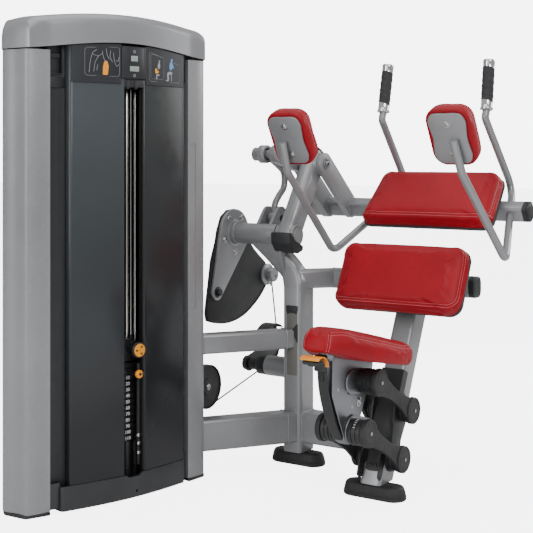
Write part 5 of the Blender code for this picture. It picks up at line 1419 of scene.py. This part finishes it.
# elbow plates: rounded, slightly waisted, with two screws and the welded tube end
EL = {}
for nm, sd in (("left_elbow", 1), ("right_elbow", -1)):
    m = pad_frame((sd * 0.334, -0.0655, 1.3140), (-0.480, 0.877), (0.877, 0.480))
    EL[nm] = m
    out = smooth_path([(x, y, 0) for x, y in [(-0.066, -0.040), (-0.067, -0.062), (-0.050, -0.085), (0.0, -0.087), (0.050, -0.085), (0.067, -0.062), (0.066, -0.030), (0.062, 0.0),
                                              (0.066, 0.034), (0.068, 0.062), (0.050, 0.086), (0.0, 0.088), (-0.050, 0.086), (-0.068, 0.062), (-0.066, 0.034), (-0.062, 0.0), (-0.066, -0.040)]], 6)[:-1]
    piece("look_" + nm + "_plate", flat([(p.x * 1.03, p.y * 1.11) for p in out], -0.004, 0.004, m, 0.0014), M_FRAME, "upper_arm", nm + "_plate")
    nrm = -(m.to_3x3() @ Vector((0, 0, 1)))
    bl = [bolt(m @ Vector((x, y, -0.004)), nrm, 0.0095, 0.006, 'button') for x, y in ((0.0, 0.058), (0.0, -0.060))]
    piece("look_" + nm + "_screws", join(*bl), M_BOLT, "upper_arm")

# link rod: S-bent bar between the crank stub and two discs
rod_mid = [(0.268, 1.050), (0.299, 1.087), (0.334, 1.118), (0.343, 1.157), (0.330, 1.192), (0.274, 1.225), (0.230, 1.246)]
rp2 = smooth_path([(-0.620, *p) for p in [ROD_F] + rod_mid + [CRANK]], 10)
eye = turned([(0.0375, -0.0150), (0.0375, 0.0150), (0.0360, 0.0165), (0.0275, 0.0165), (0.0262, 0.0150), (0.0262, -0.0150), (0.0275, -0.0165), (0.0360, -0.0165)],
             Matrix.Translation((-0.620, *CRANK)) @ rotation_to((1, 0, 0), (0, 1, 0)), 64)
foot_eye = turned([(0.027, -0.0150), (0.027, 0.0150), (0.0255, 0.0165), (0.0135, 0.0165), (0.0135, -0.0165), (0.0255, -0.0165)],
                  Matrix.Translation((-0.620, *ROD_F)) @ rotation_to((1, 0, 0), (0, 1, 0)), 56)
rp2 = [p for p in rp2 if (Vector((p.y, p.z)) - Vector(CRANK)).length > 0.033 and (Vector((p.y, p.z)) - Vector(ROD_F)).length > 0.020]
piece("look_link_rod", join(tube(rp2, 0.0135, 10), eye, foot_eye), M_FRAME, "link_rod", "link_rod", angle=45)
piece("look_rod_bolt", join(bolt((-0.582, *ROD_F), (1, 0, 0), 0.0100, 0.008, 'button'), bolt((-0.658, *ROD_F), (-1, 0, 0), 0.0100, 0.008, 'hex'),
                            rod_x(ROD_F, -0.650, -0.590, 0.0118, 28)), M_STEEL, "frame")
piece("look_crank_washer", join(turned([(0.0230, 0.0), (0.0230, 0.002), (0.0215, 0.0032), (0.0004, 0.0046), (0.0004, 0.0)], Matrix.Translation((-0.6680, *CRANK)) @ rotation_to((-1, 0, 0), (0, 1, 0)), 48)),
      M_FRAME, "upper_arm")

# ------------------------------------------------------------------ upholstery
def pad_base(hx, hy, rx, ry, corner, z_front, depth, taper=0.0, n=10, back_r=0.008):
    """Cushion blank: rings from the back edge up to a softly rolled face."""
    def outline(ax, ay, rc, tz):
        rc = min(rc, ax * 0.98, ay * 0.98)
        pts = []
        for sx, sy, a0 in ((1, 1, 0), (-1, 1, 90), (-1, -1, 180), (1, -1, 270)):
            for k in range(n + 1):
                a = math.radians(a0 + 90 * k / n)
                x = sx * (ax - rc) + rc * math.cos(a)
                y = sy * (ay - rc) + rc * math.sin(a)
                pts.append((x * (1 - taper * (y / hy)), y, tz))
        return pts
    rows = []
    for k in range(5):
        a = math.radians(90 * k / 4)
        q = back_r * (1 - math.sin(a))
        rows.append(outline(hx - q, hy - q, corner - q, z_front - depth + back_r * (1 - math.cos(a))))
    rz = min(depth * 0.62, 0.042)
    for k in range(0, 11):
        a = math.radians(90 * k / 10)
        f = 1 - math.cos(a)
        rows.append(outline(hx - rx * f, hy - ry * f, max(corner - 0.5 * (rx + ry) * f * 0.55, 0.012), z_front - rz * (1 - math.sin(a))))
    return loft([[Vector(p) for p in r] for r in rows])


def cushion(name, bm, m, voxel, crown, half, pinned_z, pressure=4.0, bend=None):
    """Voxel remesh, crown, then a short cloth simulation with air pressure; returns a bmesh in local space."""
    me = bpy.data.meshes.new(name + "_blank")
    bm.to_mesh(me)
    bm.free()
    ob = bpy.data.objects.new(name + "_blank", me)
    SCENE.collection.objects.link(ob)
    rem = ob.modifiers.new("Remesh", 'REMESH')
    rem.mode = 'VOXEL'
    rem.voxel_size = voxel
    sm = ob.modifiers.new("Smooth", 'SMOOTH')
    sm.factor = 0.5
    sm.iterations = 4
    b2 = evaluated(ob)
    bpy.data.objects.remove(ob)
    hx, hy = half
    for v in b2.verts:
        x, y, z = v.co
        if z > pinned_z:
            w = max(1 - (x / hx) ** 2, 0) * max(1 - (y / hy) ** 2, 0)
            v.co.z += crown * w ** 0.7 * min((z - pinned_z) / 0.02, 1.0)
        if bend:
            v.co = bend(v.co)
    start = {v.index: v.co.copy() for v in b2.verts}
    me = bpy.data.meshes.new(name + "_cloth")
    b2.to_mesh(me)
    b2.free()
    ob = bpy.data.objects.new(name + "_cloth", me)
    SCENE.collection.objects.link(ob)
    vg = ob.vertex_groups.new(name="pin")
    back = [v.index for v in me.vertices if v.co.z < pinned_z + 0.004]
    vg.add(back, 1.0, 'REPLACE')
    cl = ob.modifiers.new("Cloth", 'CLOTH')
    st = cl.settings
    st.quality = 5
    st.mass = 0.25
    st.tension_stiffness = st.compression_stiffness = 18
    st.shear_stiffness = 8
    st.bending_stiffness = 1.2
    st.use_pressure = True
    st.uniform_pressure_force = pressure
    st.vertex_group_mass = "pin"
    st.effector_weights.gravity = 0
    cl.collision_settings.use_collision = False
    cl.point_cache.frame_start = 1
    cl.point_cache.frame_end = 20
    for f in range(1, 21):
        SCENE.frame_set(f)
    b3 = evaluated(ob)
    bpy.data.objects.remove(ob)
    SCENE.frame_set(1)
    worst = 0.0
    b3.verts.ensure_lookup_table()
    for v in b3.verts:
        s = start[v.index]
        d = v.co - s
        worst = max(worst, d.length)
        if d.length > 0.006:
            v.co = s + d.normalized() * 0.006
    print("cloth", name, len(b3.verts), "largest move mm", round(worst * 1000, 2))
    return b3


def refine(bm):
    me = bpy.data.meshes.new("fine")
    bm.to_mesh(me)
    bm.free()
    ob = bpy.data.objects.new("fine", me)
    SCENE.collection.objects.link(ob)
    sub = ob.modifiers.new("Subsurf", 'SUBSURF')
    sub.levels = sub.render_levels = 1
    out = evaluated(ob)
    bpy.data.objects.remove(ob)
    return out


def dense(path, step=0.002, closed=False):
    pts = [Vector(p) for p in path]
    if closed:
        pts.append(pts[0])
    out = []
    for a, b in zip(pts, pts[1:]):
        k = max(int((b - a).length / step), 1)
        out += [a.lerp(b, i / k) for i in range(k)]
    out.append(pts[-1])
    return out


def lay(bm, path, dirs):
    """Drops a path onto the cushion surface along the given directions."""
    tree = BVHTree.FromBMesh(bm)
    out = []
    for p, d in zip(path, dirs):
        hit = tree.ray_cast(p - d * 0.3, d, 0.6)
        if hit[0] is not None:
            out.append((hit[0], hit[1]))
    return out


def groove(bm, laid, depth, sigma):
    kd = kdtree.KDTree(len(laid))
    for i, (p, _) in enumerate(laid):
        kd.insert(p, i)
    kd.balance()
    moves = []
    bm.normal_update()
    for v in bm.verts:
        co, i, dist = kd.find(v.co)
        if dist < sigma * 3.2:
            n = laid[i][1]
            if n.dot(v.normal) > 0.1:
                moves.append((v, n * (-depth * math.exp(-dist * dist / (2 * sigma * sigma)))))
    for v, d in moves:
        v.co += d


def stitches(bm, laid, offset, pitch=0.0078, length=0.0052, r=0.00085, lift=0.0004):
    """Small thread capsules at a fixed pitch, set beside the seam by offset."""
    tree = BVHTree.FromBMesh(bm)
    pts = [p for p, _ in laid]
    acc, out, last = 0.0, [], None
    total = 0.0
    for i in range(1, len(pts)):
        total += (pts[i] - pts[i - 1]).length
        if total - acc < pitch:
            continue
        acc = total
        t = (pts[min(i + 2, len(pts) - 1)] - pts[max(i - 2, 0)])
        if t.length < 1e-6:
            continue
        t.normalize()
        n = laid[i][1]
        side = n.cross(t).normalized()
        q = pts[i] + side * offset
        near = tree.find_nearest(q)
        if near[0] is None:
            continue
        c, nn = near[0], near[1]
        t = (t - nn * t.dot(nn)).normalized()
        out.append((c + nn * lift, t, nn))
    secs = []
    bmo = bmesh.new()
    prof = [(-0.5, 0.15), (-0.42, 0.75), (-0.25, 1.0), (0.25, 1.0), (0.42, 0.75), (0.5, 0.15)]
    for c, t, nn in out:
        s = nn.cross(t)
        rings = []
        for f, q in prof:
            dip = -0.0007 * (2 * abs(f)) ** 2
            rings.append([bmo.verts.new(c + t * (f * length) + nn * (dip + r * q * math.sin(2 * math.pi * k / 6)) + s * (r * q * math.cos(2 * math.pi * k / 6))) for k in range(6)])
        for a, b in zip(rings, rings[1:]):
            for k in range(6):
                bmo.faces.new((a[k], a[(k + 1) % 6], b[(k + 1) % 6], b[k]))
        bmo.faces.new(rings[0][::-1])
        bmo.faces.new(rings[-1])
    bmesh.ops.recalc_face_normals(bmo, faces=bmo.faces)
    return bmo


def upholster(name, blank, m, body, cad, seams, crown, half, pinned_z, voxel=0.005, pressure=4.0, bend=None):
    """Cushion with sewn grooves and double stitching. seams: list of (path, dirs, closed, rows)."""
    b = cushion(name, blank, m, voxel, crown, half, pinned_z, pressure, bend)
    b = refine(b)
    thread = []
    laid_all = []
    for path, dirs, rows in seams:
        laid = lay(b, path, dirs)
        laid_all.append((laid, rows))
    for laid, rows in laid_all:
        if len(laid) > 4:
            groove(b, laid, 0.0022, 0.0030)
    for laid, rows in laid_all:
        if len(laid) > 4:
            for off in rows:
                groove(b, [(p + n.cross((laid[min(i + 2, len(laid) - 1)][0] - laid[max(i - 2, 0)][0]).normalized()).normalized() * off, n) for i, (p, n) in enumerate(laid)], 0.0006, 0.0018)
    for laid, rows in laid_all:
        if len(laid) > 4:
            for off in rows:
                thread.append(stitches(b, laid, off))
    bmesh.ops.transform(b, matrix=m, verts=b.verts)
    bmesh.ops.recalc_face_normals(b, faces=b.faces)
    ob = piece("look_" + name, b, M_PAD, body, cad, angle=180)
    if thread:
        tb = join(*thread)
        bmesh.ops.transform(tb, matrix=m, verts=tb.verts)
        piece("look_" + name + "_thread", tb, M_THREAD, body, angle=180)
    return ob


def straight(p0, p1, d, step=0.002):
    pts = dense([p0, p1], step)
    return pts, [Vector(d)] * len(pts)


def loop_on_face(hx, hy, rc, left, right, bottom, top, taper=0.0):
    base = rounded_loop([(-hx + left, -hy + bottom), (hx - right, -hy + bottom), (hx - right, hy - top), (-hx + left, hy - top)], rc, 8)
    pts = dense([(x * (1 - taper * y / hy), y, 0.1) for x, y in base], 0.002, True)
    return pts, [Vector((0, 0, -1))] * len(pts)


LOWER_PAD = pad_frame((0, 0.177, 0.797), (0.4226, 0.9063), (-0.9063, 0.4226))
UPPER_PAD = pad_frame((0, 0.478, 1.104), (0.7071, 0.7071), (-0.7071, 0.7071))

# lower back pad
lp_m = LOWER_PAD @ Matrix.Translation((-0.010, 0.009, 0))
blank = pad_base(0.267, 0.134, 0.050, 0.018, 0.050, -0.006, 0.062, 0.0)
p1, d1 = loop_on_face(0.267, 0.134, 0.040, 0.006, 0.008, 0.022, 0.006)
upholster("lower_back_pad", blank, lp_m, "frame", "lower_back_pad", [(p1, d1, (-0.0050, 0.0050))], 0.005, (0.271, 0.138), -0.066)
sh_m = lp_m
shell = loft([[Vector((x, y, z)) for x, y in rounded_loop([(-a - 0.004, -b - 0.008), (a + 0.017, -b - 0.008), (a + 0.017, b + 0.002), (-a - 0.004, b + 0.002)], rc, 8)]
              for a, b, rc, z in ((0.225, 0.098, 0.030, -0.0900), (0.236, 0.108, 0.036, -0.0885), (0.246, 0.119, 0.042, -0.082), (0.2535, 0.1265, 0.048, -0.070), (0.2545, 0.1275, 0.048, -0.064), (0.250, 0.122, 0.045, -0.060))])
bmesh.ops.transform(shell, matrix=sh_m, verts=shell.verts)
piece("look_lower_shell", shell, M_BLACK, "frame", "lower_pad_shell", angle=35)

# upper back pad
UPPER_PAD = UPPER_PAD @ Matrix.Translation((-0.013, 0.009, 0))
blank = pad_base(0.279, 0.138, 0.034, 0.018, 0.044, -0.006, 0.058, 0.035)
p1, d1 = loop_on_face(0.279, 0.138, 0.038, 0.005, 0.007, 0.023, 0.006, 0.035)
upholster("upper_back_pad", blank, UPPER_PAD, "upper_arm", "upper_back_pad", [(p1, d1, (-0.0050, 0.0050))], 0.006, (0.277, 0.141), -0.062)
shell = loft([[Vector((x * (1 - 0.035 * y / 0.122), y, z)) for x, y in rounded_loop([(-a - 0.026, -b - 0.027), (a + 0.040, -b - 0.027), (a + 0.040, b + 0.018), (-a - 0.026, b + 0.018)], rc, 8)]
              for a, b, rc, z in ((0.212, 0.082, 0.030, -0.0845), (0.224, 0.094, 0.036, -0.0830), (0.236, 0.106, 0.040, -0.077), (0.2445, 0.1155, 0.042, -0.066), (0.2455, 0.1165, 0.042, -0.060), (0.240, 0.110, 0.042, -0.056))])
bmesh.ops.transform(shell, matrix=UPPER_PAD, verts=shell.verts)
piece("look_upper_shell", shell, M_BLACK, "upper_arm", "upper_pad_shell", angle=35)
ud = UPPER_PAD.to_3x3()
sc = []
for x in (-0.17, 0.17):
    for y in (-0.06, 0.06):
        sc.append(bolt(UPPER_PAD @ Vector((x, y, -0.0842)), -(ud @ Vector((0, 0, 1))), 0.008, 0.005, 'button'))
piece("look_upper_shell_screws", join(*sc), M_STEEL, "upper_arm")
ld = LOWER_PAD.to_3x3()
sc = []
for x in (-0.17, 0.17):
    for y in (-0.06, 0.06):
        sc.append(bolt(lp_m @ Vector((x, y, -0.0897)), -(ld @ Vector((0, 0, 1))), 0.008, 0.005, 'button'))
piece("look_lower_shell_screws", join(*sc), M_STEEL, "frame")

# elbow pads: face panel, boxing strip with a seam at mid thickness
for nm in ("left_elbow", "right_elbow"):
    m = EL[nm]
    blank = pad_base(0.085, 0.111, 0.019, 0.019, 0.050, 0.073, 0.0675, 0.0, back_r=0.005)
    path = rounded_loop([(-0.0875, -0.1135), (0.0875, -0.1135), (0.0875, 0.1135), (-0.0875, 0.1135)], 0.050, 8)
    pts, dirs = [], []
    for p in dense([(x, y, 0.038) for x, y in path], 0.002, True):
        q = Vector((max(min(p.x, 0.042), -0.042), max(min(p.y, 0.068), -0.068), 0.038))
        d = (q - p)
        if d.length < 1e-6:
            continue
        pts.append(p)
        dirs.append(d.normalized())
    pts2, dirs2 = [p + Vector((0, 0, 0)) for p in pts], dirs
    upholster(nm + "_pad", blank, m, "upper_arm", nm + "_pad", [(pts2, dirs2, (-0.0036, 0.0036))], 0.004, (0.090, 0.116), 0.008, voxel=0.004, pressure=3.0)

# ------------------------------------------------------------------ seat
SEAT_TILT = math.radians(14.5)
SEAT = Matrix.Translation((0, -0.220, 0.612)) @ Matrix.Rotation(-SEAT_TILT, 4, 'X')
seat_half = [(0.0, -0.2025), (0.028, -0.2010), (0.047, -0.192), (0.076, -0.150), (0.100, -0.095), (0.126, -0.030), (0.150, 0.040), (0.167, 0.110), (0.1745, 0.168), (0.1715, 0.204), (0.152, 0.2235), (0.098, 0.2290), (0.0, 0.2300)]
rh = [(p.x, p.y) for p in smooth_path([(x, y, 0) for x, y in seat_half], 5)]
seat_loop = rh + [(-x, y) for x, y in rh[::-1][1:-1]]


def seat_ring(inset, z):
    out = []
    n = len(seat_loop)
    for i, (x, y) in enumerate(seat_loop):
        a, b = Vector(seat_loop[i - 1]), Vector(seat_loop[(i + 1) % n])
        t = (b - a).normalized()
        out.append(Vector((x - t.y * inset, y + t.x * inset, z)))
    return out


rows = [(0.020, -0.0700), (0.010, -0.0685), (0.004, -0.064), (0.001, -0.056), (0.0, -0.046), (0.0, -0.034), (0.001, -0.026), (0.004, -0.017), (0.009, -0.010), (0.017, -0.0052), (0.028, -0.003)]
blank = loft([seat_ring(i, -0.067 + (z + 0.070) * 1.20) for i, z in rows])


def seat_bend(co):
    x, y, z = co
    f = (z + 0.067) / 0.080                      # 0 under the cushion, 1 on its face
    nosef = max((-y - 0.110) / 0.090, 0.0)
    belly = 0.010 * math.exp(-((y + 0.02) / 0.09) ** 2) - 0.010 * max((y - 0.08) / 0.12, 0)
    z -= 0.007 * nosef ** 2
    y += 0.012 * min(nosef, 1.0) * max(f, 0.0) ** 1.5
    z -= belly * (1 - f) * 0.7
    z += 0.004 * (1 - (x / 0.16) ** 2) * f * 0.0
    return Vector((x, y, z))


top_loop = [p for p in seat_ring(0.012, 0.1)]
side_run = [p for p in top_loop if p.y > -0.148]
left_side = [p for p in top_loop if p.x > 0.001 and p.y > -0.180]
right_side = [p for p in top_loop if p.x < -0.001 and p.y > -0.180]
run = dense(left_side + right_side, 0.002)
down = [Vector((0, 0, -1))] * len(run)
seams = [(run, down, (-0.0055, 0.0055))]
for sg in (1, -1):
    # seam dropping down the side behind the nose
    x0 = sg * 0.083
    pts, dirs = [], []
    for k in range(34):
        z = 0.004 - 0.072 * k / 33
        y = -0.150 - 0.010 * k / 33
        pts.append(Vector((sg * 0.30, y + 0.10, z)))
        dirs.append((Vector((0, y + 0.055, z)) - Vector((sg * 0.30, y + 0.10 - 0.055 + 0.0, z))).normalized())
    # cast straight inwards at the nose angle
    dd = Vector((-sg * 0.75, 0.66, 0)).normalized()
    pts = [Vector((sg * 0.052, -0.186 - 0.004 * k / 33, 0.000 - 0.066 * k / 33)) for k in range(34)]
    dirs = [dd] * 34
    seams.append((pts, dirs, (-0.0040, 0.0040)))
upholster("seat_pad", blank, SEAT, "seat", "seat_pad", seams, 0.005, (0.166, 0.210), -0.062, voxel=0.0045, pressure=3.5, bend=seat_bend)

# seat post: polished cheeks, raised bosses, black hub barrels
post_outline = wrap([(-0.318, 0.552, 0.014), (-0.060, 0.495, 0.014), (LA[0], LA[1], HUB_R), (LC[0], LC[1], HUB_R + 0.002), (-0.322, 0.430, 0.014)], 64)
core = flat(post_outline, -0.0190, 0.0190, bev=0.003, res=3)
bosses = []
for sg in (1, -1):
    x0, x1 = sg * 0.0185, sg * 0.0265
    bosses.append(flat(wrap([(LA[0], LA[1], HUB_R - 0.001), (LA[0] - 0.075, LA[1] + 0.006, 0.044)], 56), min(x0, x1), max(x0, x1), bev=0.0035, res=3))
    bosses.append(flat(wrap([(LC[0], LC[1], HUB_R - 0.001), (LC[0] + 0.010, LC[1] + 0.012, 0.044)], 56), min(x0, x1), max(x0, x1), bev=0.0035, res=3))
under = loft([[SEAT @ Vector((x, y, z)) for x, y in rounded_loop([(-a, -b), (a, -b), (a, b), (-a, b)], 0.015, 5)]
              for a, b, z in ((0.0150, 0.125, -0.090), (0.0180, 0.133, -0.086), (0.0185, 0.140, -0.070), (0.0185, 0.140, -0.060))])
piece("look_seat_post", join(core, *bosses), M_BRUSH, "seat", "seat_post", angle=38)
piece("look_seat_pan", under, M_BRUSH, "seat")
sb = []
for sg in (1, -1):
    for y, z, r in ((-0.295, 0.445, 0.0058), (-0.235, 0.429, 0.0058), (-0.202, 0.368, 0.0054)):
        sb.append(bolt((sg * 0.0189, y, z), (sg, 0, 0), r, 0.0042, 'button'))
    sb.append(bolt((sg * 0.0189, -0.150, 0.378), (sg, 0, 0), 0.0120, 0.0075, 'button'))
piece("look_seat_screws", join(*sb), M_BOLT, "seat")
barrels = []
for c in (LA, LC):
    for sg in (1, -1):
        prof = [(HUB_R - 0.0015, 0.040), (HUB_R - 0.0015, 0.050), (HUB_R + 0.0005, 0.0515), (HUB_R + 0.0005, 0.058), (HUB_R - 0.0020, 0.0595), (HUB_R - 0.0020, 0.0620), (HUB_R + 0.0005, 0.0635),
                (HUB_R + 0.0005, 0.0760), (HUB_R - 0.0020, 0.0775), (HUB_R - 0.0020, 0.0795), (HUB_R, 0.0810), (HUB_R, 0.0945), (HUB_R - 0.002, 0.0960), (0.014, 0.0960), (0.014, 0.040)]
        barrels.append(turned([(q, 0.026 + (x - 0.040) * 0.955) for q, x in prof], Matrix.Translation((0, *c)) @ rotation_to((sg, 0, 0), (0, 1, 0)), 64))
piece("look_seat_barrels", join(*barrels), M_BLACK, "seat")
# scale marks on the lower barrel
mk = []
for a in range(100, 160, 12):
    y, z = LC[0] + (HUB_R + 0.0008) * math.cos(math.radians(a)), LC[1] + (HUB_R + 0.0008) * math.sin(math.radians(a))
    mk.append(box((0.051, y - 0.0012, z - 0.0012), (0.058, y + 0.0012, z + 0.0012), 0.0004, 1))
piece("look_scale_marks", join(*mk), M_WHITE, "seat")

# curved front band
band = smooth_path([(-0.372, 0.532, 0), (-0.370, 0.500, 0), (-0.363, 0.455, 0), (-0.347, 0.405, 0), (-0.322, 0.352, 0), (-0.290, 0.300, 0), (-0.262, 0.262, 0)], 8)
bpath = [(p.x - 0.006, p.y) for p in band]
piece("look_seat_trim", flat(strip(bpath[::-1], -0.011), -0.0185, 0.0185, bev=0.003, res=3), M_BLACK, "seat", "seat_trim", angle=40)
# dark slot in the trim, in the painted-shade near-black
piece("look_trim_slot", flat(rounded_loop([(-0.008, -0.018), (0.008, -0.018), (0.008, 0.018), (-0.008, 0.018)], 0.004, 5), -0.0005, 0.0016,
      Matrix.Translation((0, -0.3775, 0.500)) @ Matrix(((1, 0, 0, 0), (0, 0, -1, 0), (0, 1, 0, 0), (0, 0, 0, 1))), 0.0005), M_PAINTED_SHADE, "seat")

# links: waisted arms with round caps, inner rings and bright centre screws
LINK_IN = 0.0165
for nm, a, b in (("upper_link", LB, LA), ("lower_link", LD, LC)):
    arms = []
    for sg in (1, -1):
        x0, x1 = sg * (LINK_X0 - LINK_IN), sg * (LINK_X1 - LINK_IN)
        arms.append(flat(bone(a, b, LINK_R, 0.024), min(x0, x1), max(x0, x1), bev=0.003, res=3))
        for c in (a, b):
            cm = Matrix.Translation((-sg * LINK_IN, *c)) @ rotation_to((sg, 0, 0), (0, 1, 0))
            arms.append(turned([(LINK_R - 0.0005, 0.0985), (LINK_R - 0.0005, 0.1150), (LINK_R - 0.003, 0.1175), (0.0385, 0.1178), (0.0375, 0.1166), (0.0365, 0.1178), (0.0004, 0.1182), (0.0004, 0.0985)], cm, 72))
    pins = join(*[rod_x(c, -0.0835, 0.0835, 0.0118, 32) for c in (a, b)])
    piece("look_" + nm, join(*arms), M_RUBBER, nm, nm, angle=38)
    piece("look_" + nm + "_pins", pins, M_BOLT, nm)
    piece("look_" + nm + "_screws", join(*[bolt((sg * (0.1181 - LINK_IN), *c), (sg, 0, 0), 0.0062, 0.0036, 'button', False) for sg in (1, -1) for c in (a, b)]), M_BOLT, nm)

# release lever: curved paddle over a black grip
lv = smooth_path([(-0.456, 0.566, 0), (-0.446, 0.5725, 0), (-0.432, 0.5745, 0), (-0.418, 0.5715, 0), (-0.406, 0.5635, 0), (-0.397, 0.551, 0), (-0.393, 0.538, 0)], 8)
piece("look_seat_lever", flat(strip([(p.x, p.y) for p in lv][::-1], -0.0045), -0.038, 0.038, bev=0.0016, res=3), M_ORANGE, "seat_lever", "seat_lever", angle=40)
lo = smooth_path([(-0.452, 0.560, 0), (-0.440, 0.5650, 0), (-0.424, 0.5630, 0), (-0.412, 0.556, 0), (-0.404, 0.545, 0)], 8)
piece("look_lever_grip", flat(strip([(p.x, p.y) for p in lo][::-1], 0.011), -0.033, 0.033, bev=0.003, res=3), M_BLACK, "seat_lever", angle=40)
piece("look_lever_bracket", join(box((-0.019, -0.400, 0.520), (0.019, -0.365, 0.575), 0.006, 3), rod((-0.028, -0.386, 0.556), (0.028, -0.386, 0.556), 0.008, 28)), M_BLACK, "seat")

# ------------------------------------------------------------------ floor, light, camera
me = bpy.data.meshes.new("floor")
bmf = bmesh.new()
bmesh.ops.create_grid(bmf, x_segments=8, y_segments=8, size=40.0)
bmf.to_mesh(me)
bmf.free()
nf = Nodes("floor")
fr = nf.ramp(nf.noise(3.0, 3).outputs["Fac"], [(0.3, 0.88), (0.7, 0.91)])
nf.link(fr.outputs["Color"], nf.b.inputs["Base Color"])
nf.b.inputs["Roughness"].default_value = 0.7
lpf = nf.add("ShaderNodeLightPath")
lif = nf.add("ShaderNodeMath", operation='MULTIPLY')
lif.inputs[1].default_value = 4.9
nf.link(lpf.outputs["Is Camera Ray"], lif.inputs[0])
nf.b.inputs["Emission Color"].default_value = (1, 1, 1, 1)
nf.link(lif.outputs[0], nf.b.inputs["Emission Strength"])
me.materials.append(nf.m)
floor = bpy.data.objects.new("floor", me)
SCENE.collection.objects.link(floor)

world = bpy.data.worlds.new("studio")
SCENE.world = world
world.use_nodes = True
wt = world.node_tree
bg = wt.nodes["Background"]
tc_ = wt.nodes.new("ShaderNodeTexCoord")
sp = wt.nodes.new("ShaderNodeSeparateXYZ")
wt.links.new(tc_.outputs["Generated"], sp.inputs[0])
wr = wt.nodes.new("ShaderNodeValToRGB")
e = wr.color_ramp.elements
e[0].position, e[0].color = 0.30, (0.72, 0.72, 0.73, 1)
e[1].position, e[1].color = 0.95, (1.0, 1.0, 1.0, 1)
wt.links.new(sp.outputs["Z"], wr.inputs["Fac"])
wt.links.new(wr.outputs["Color"], bg.inputs["Color"])
bg.inputs["Strength"].default_value = 0.62
bright = wt.nodes.new("ShaderNodeBackground")
bright.inputs["Color"].default_value = (1, 1, 1, 1)
bright.inputs["Strength"].default_value = 6.5
lpw = wt.nodes.new("ShaderNodeLightPath")
mxw = wt.nodes.new("ShaderNodeMixShader")
wt.links.new(lpw.outputs["Is Camera Ray"], mxw.inputs[0])
wt.links.new(bg.outputs[0], mxw.inputs[1])
wt.links.new(bright.outputs[0], mxw.inputs[2])
wt.links.new(mxw.outputs[0], wt.nodes["World Output"].inputs["Surface"])


def area(name, loc, target, size, power, size_y=None, tint=(1, 1, 1)):
    li = bpy.data.lights.new(name, 'AREA')
    li.energy = power
    li.size = size
    li.color = tint
    if size_y:
        li.shape = 'RECTANGLE'
        li.size_y = size_y
    ob = bpy.data.objects.new(name, li)
    ob.location = loc
    ob.rotation_euler = (Vector(target) - Vector(loc)).to_track_quat('-Z', 'Y').to_euler()
    SCENE.collection.objects.link(ob)
    return ob


area("key", (3.2, -2.2, 3.4), (-0.3, 0.0, 0.8), 2.4, 95)
area("left_strip", (-1.6, -4.4, 1.9), (-0.7, -0.4, 0.9), 1.0, 60, 2.6)
area("fill", (0.8, -4.6, 1.4), (-0.2, 0.0, 0.8), 2.6, 16)
area("rim", (1.6, 3.4, 2.6), (0, 0.3, 0.9), 2.0, 60)
area("top", (-0.2, -0.4, 4.2), (-0.2, -0.2, 0.8), 3.0, 50)

cam = bpy.data.cameras.new("camera")
co = bpy.data.objects.new("camera", cam)
SCENE.collection.objects.link(co)
co.location = (2.0401, -3.7376, 1.25)
co.rotation_euler = (math.radians(90), 0, math.radians(34))
cam.sensor_width = 36
cam.lens = 77.7
cam.clip_start, cam.clip_end = 0.05, 60
drv = cam.driver_add("shift_y").driver
drv.type = 'SCRIPTED'
va = drv.variables.new()
va.name = "x"
va.type = 'TRANSFORMS'
va.targets[0].id = co
va.targets[0].transform_type = 'LOC_X'
va.targets[0].transform_space = 'WORLD_SPACE'
drv.expression = "-0.2054*(abs(x-2.0401)<0.001)"
SCENE.camera = co
bpy.context.view_layer.update()
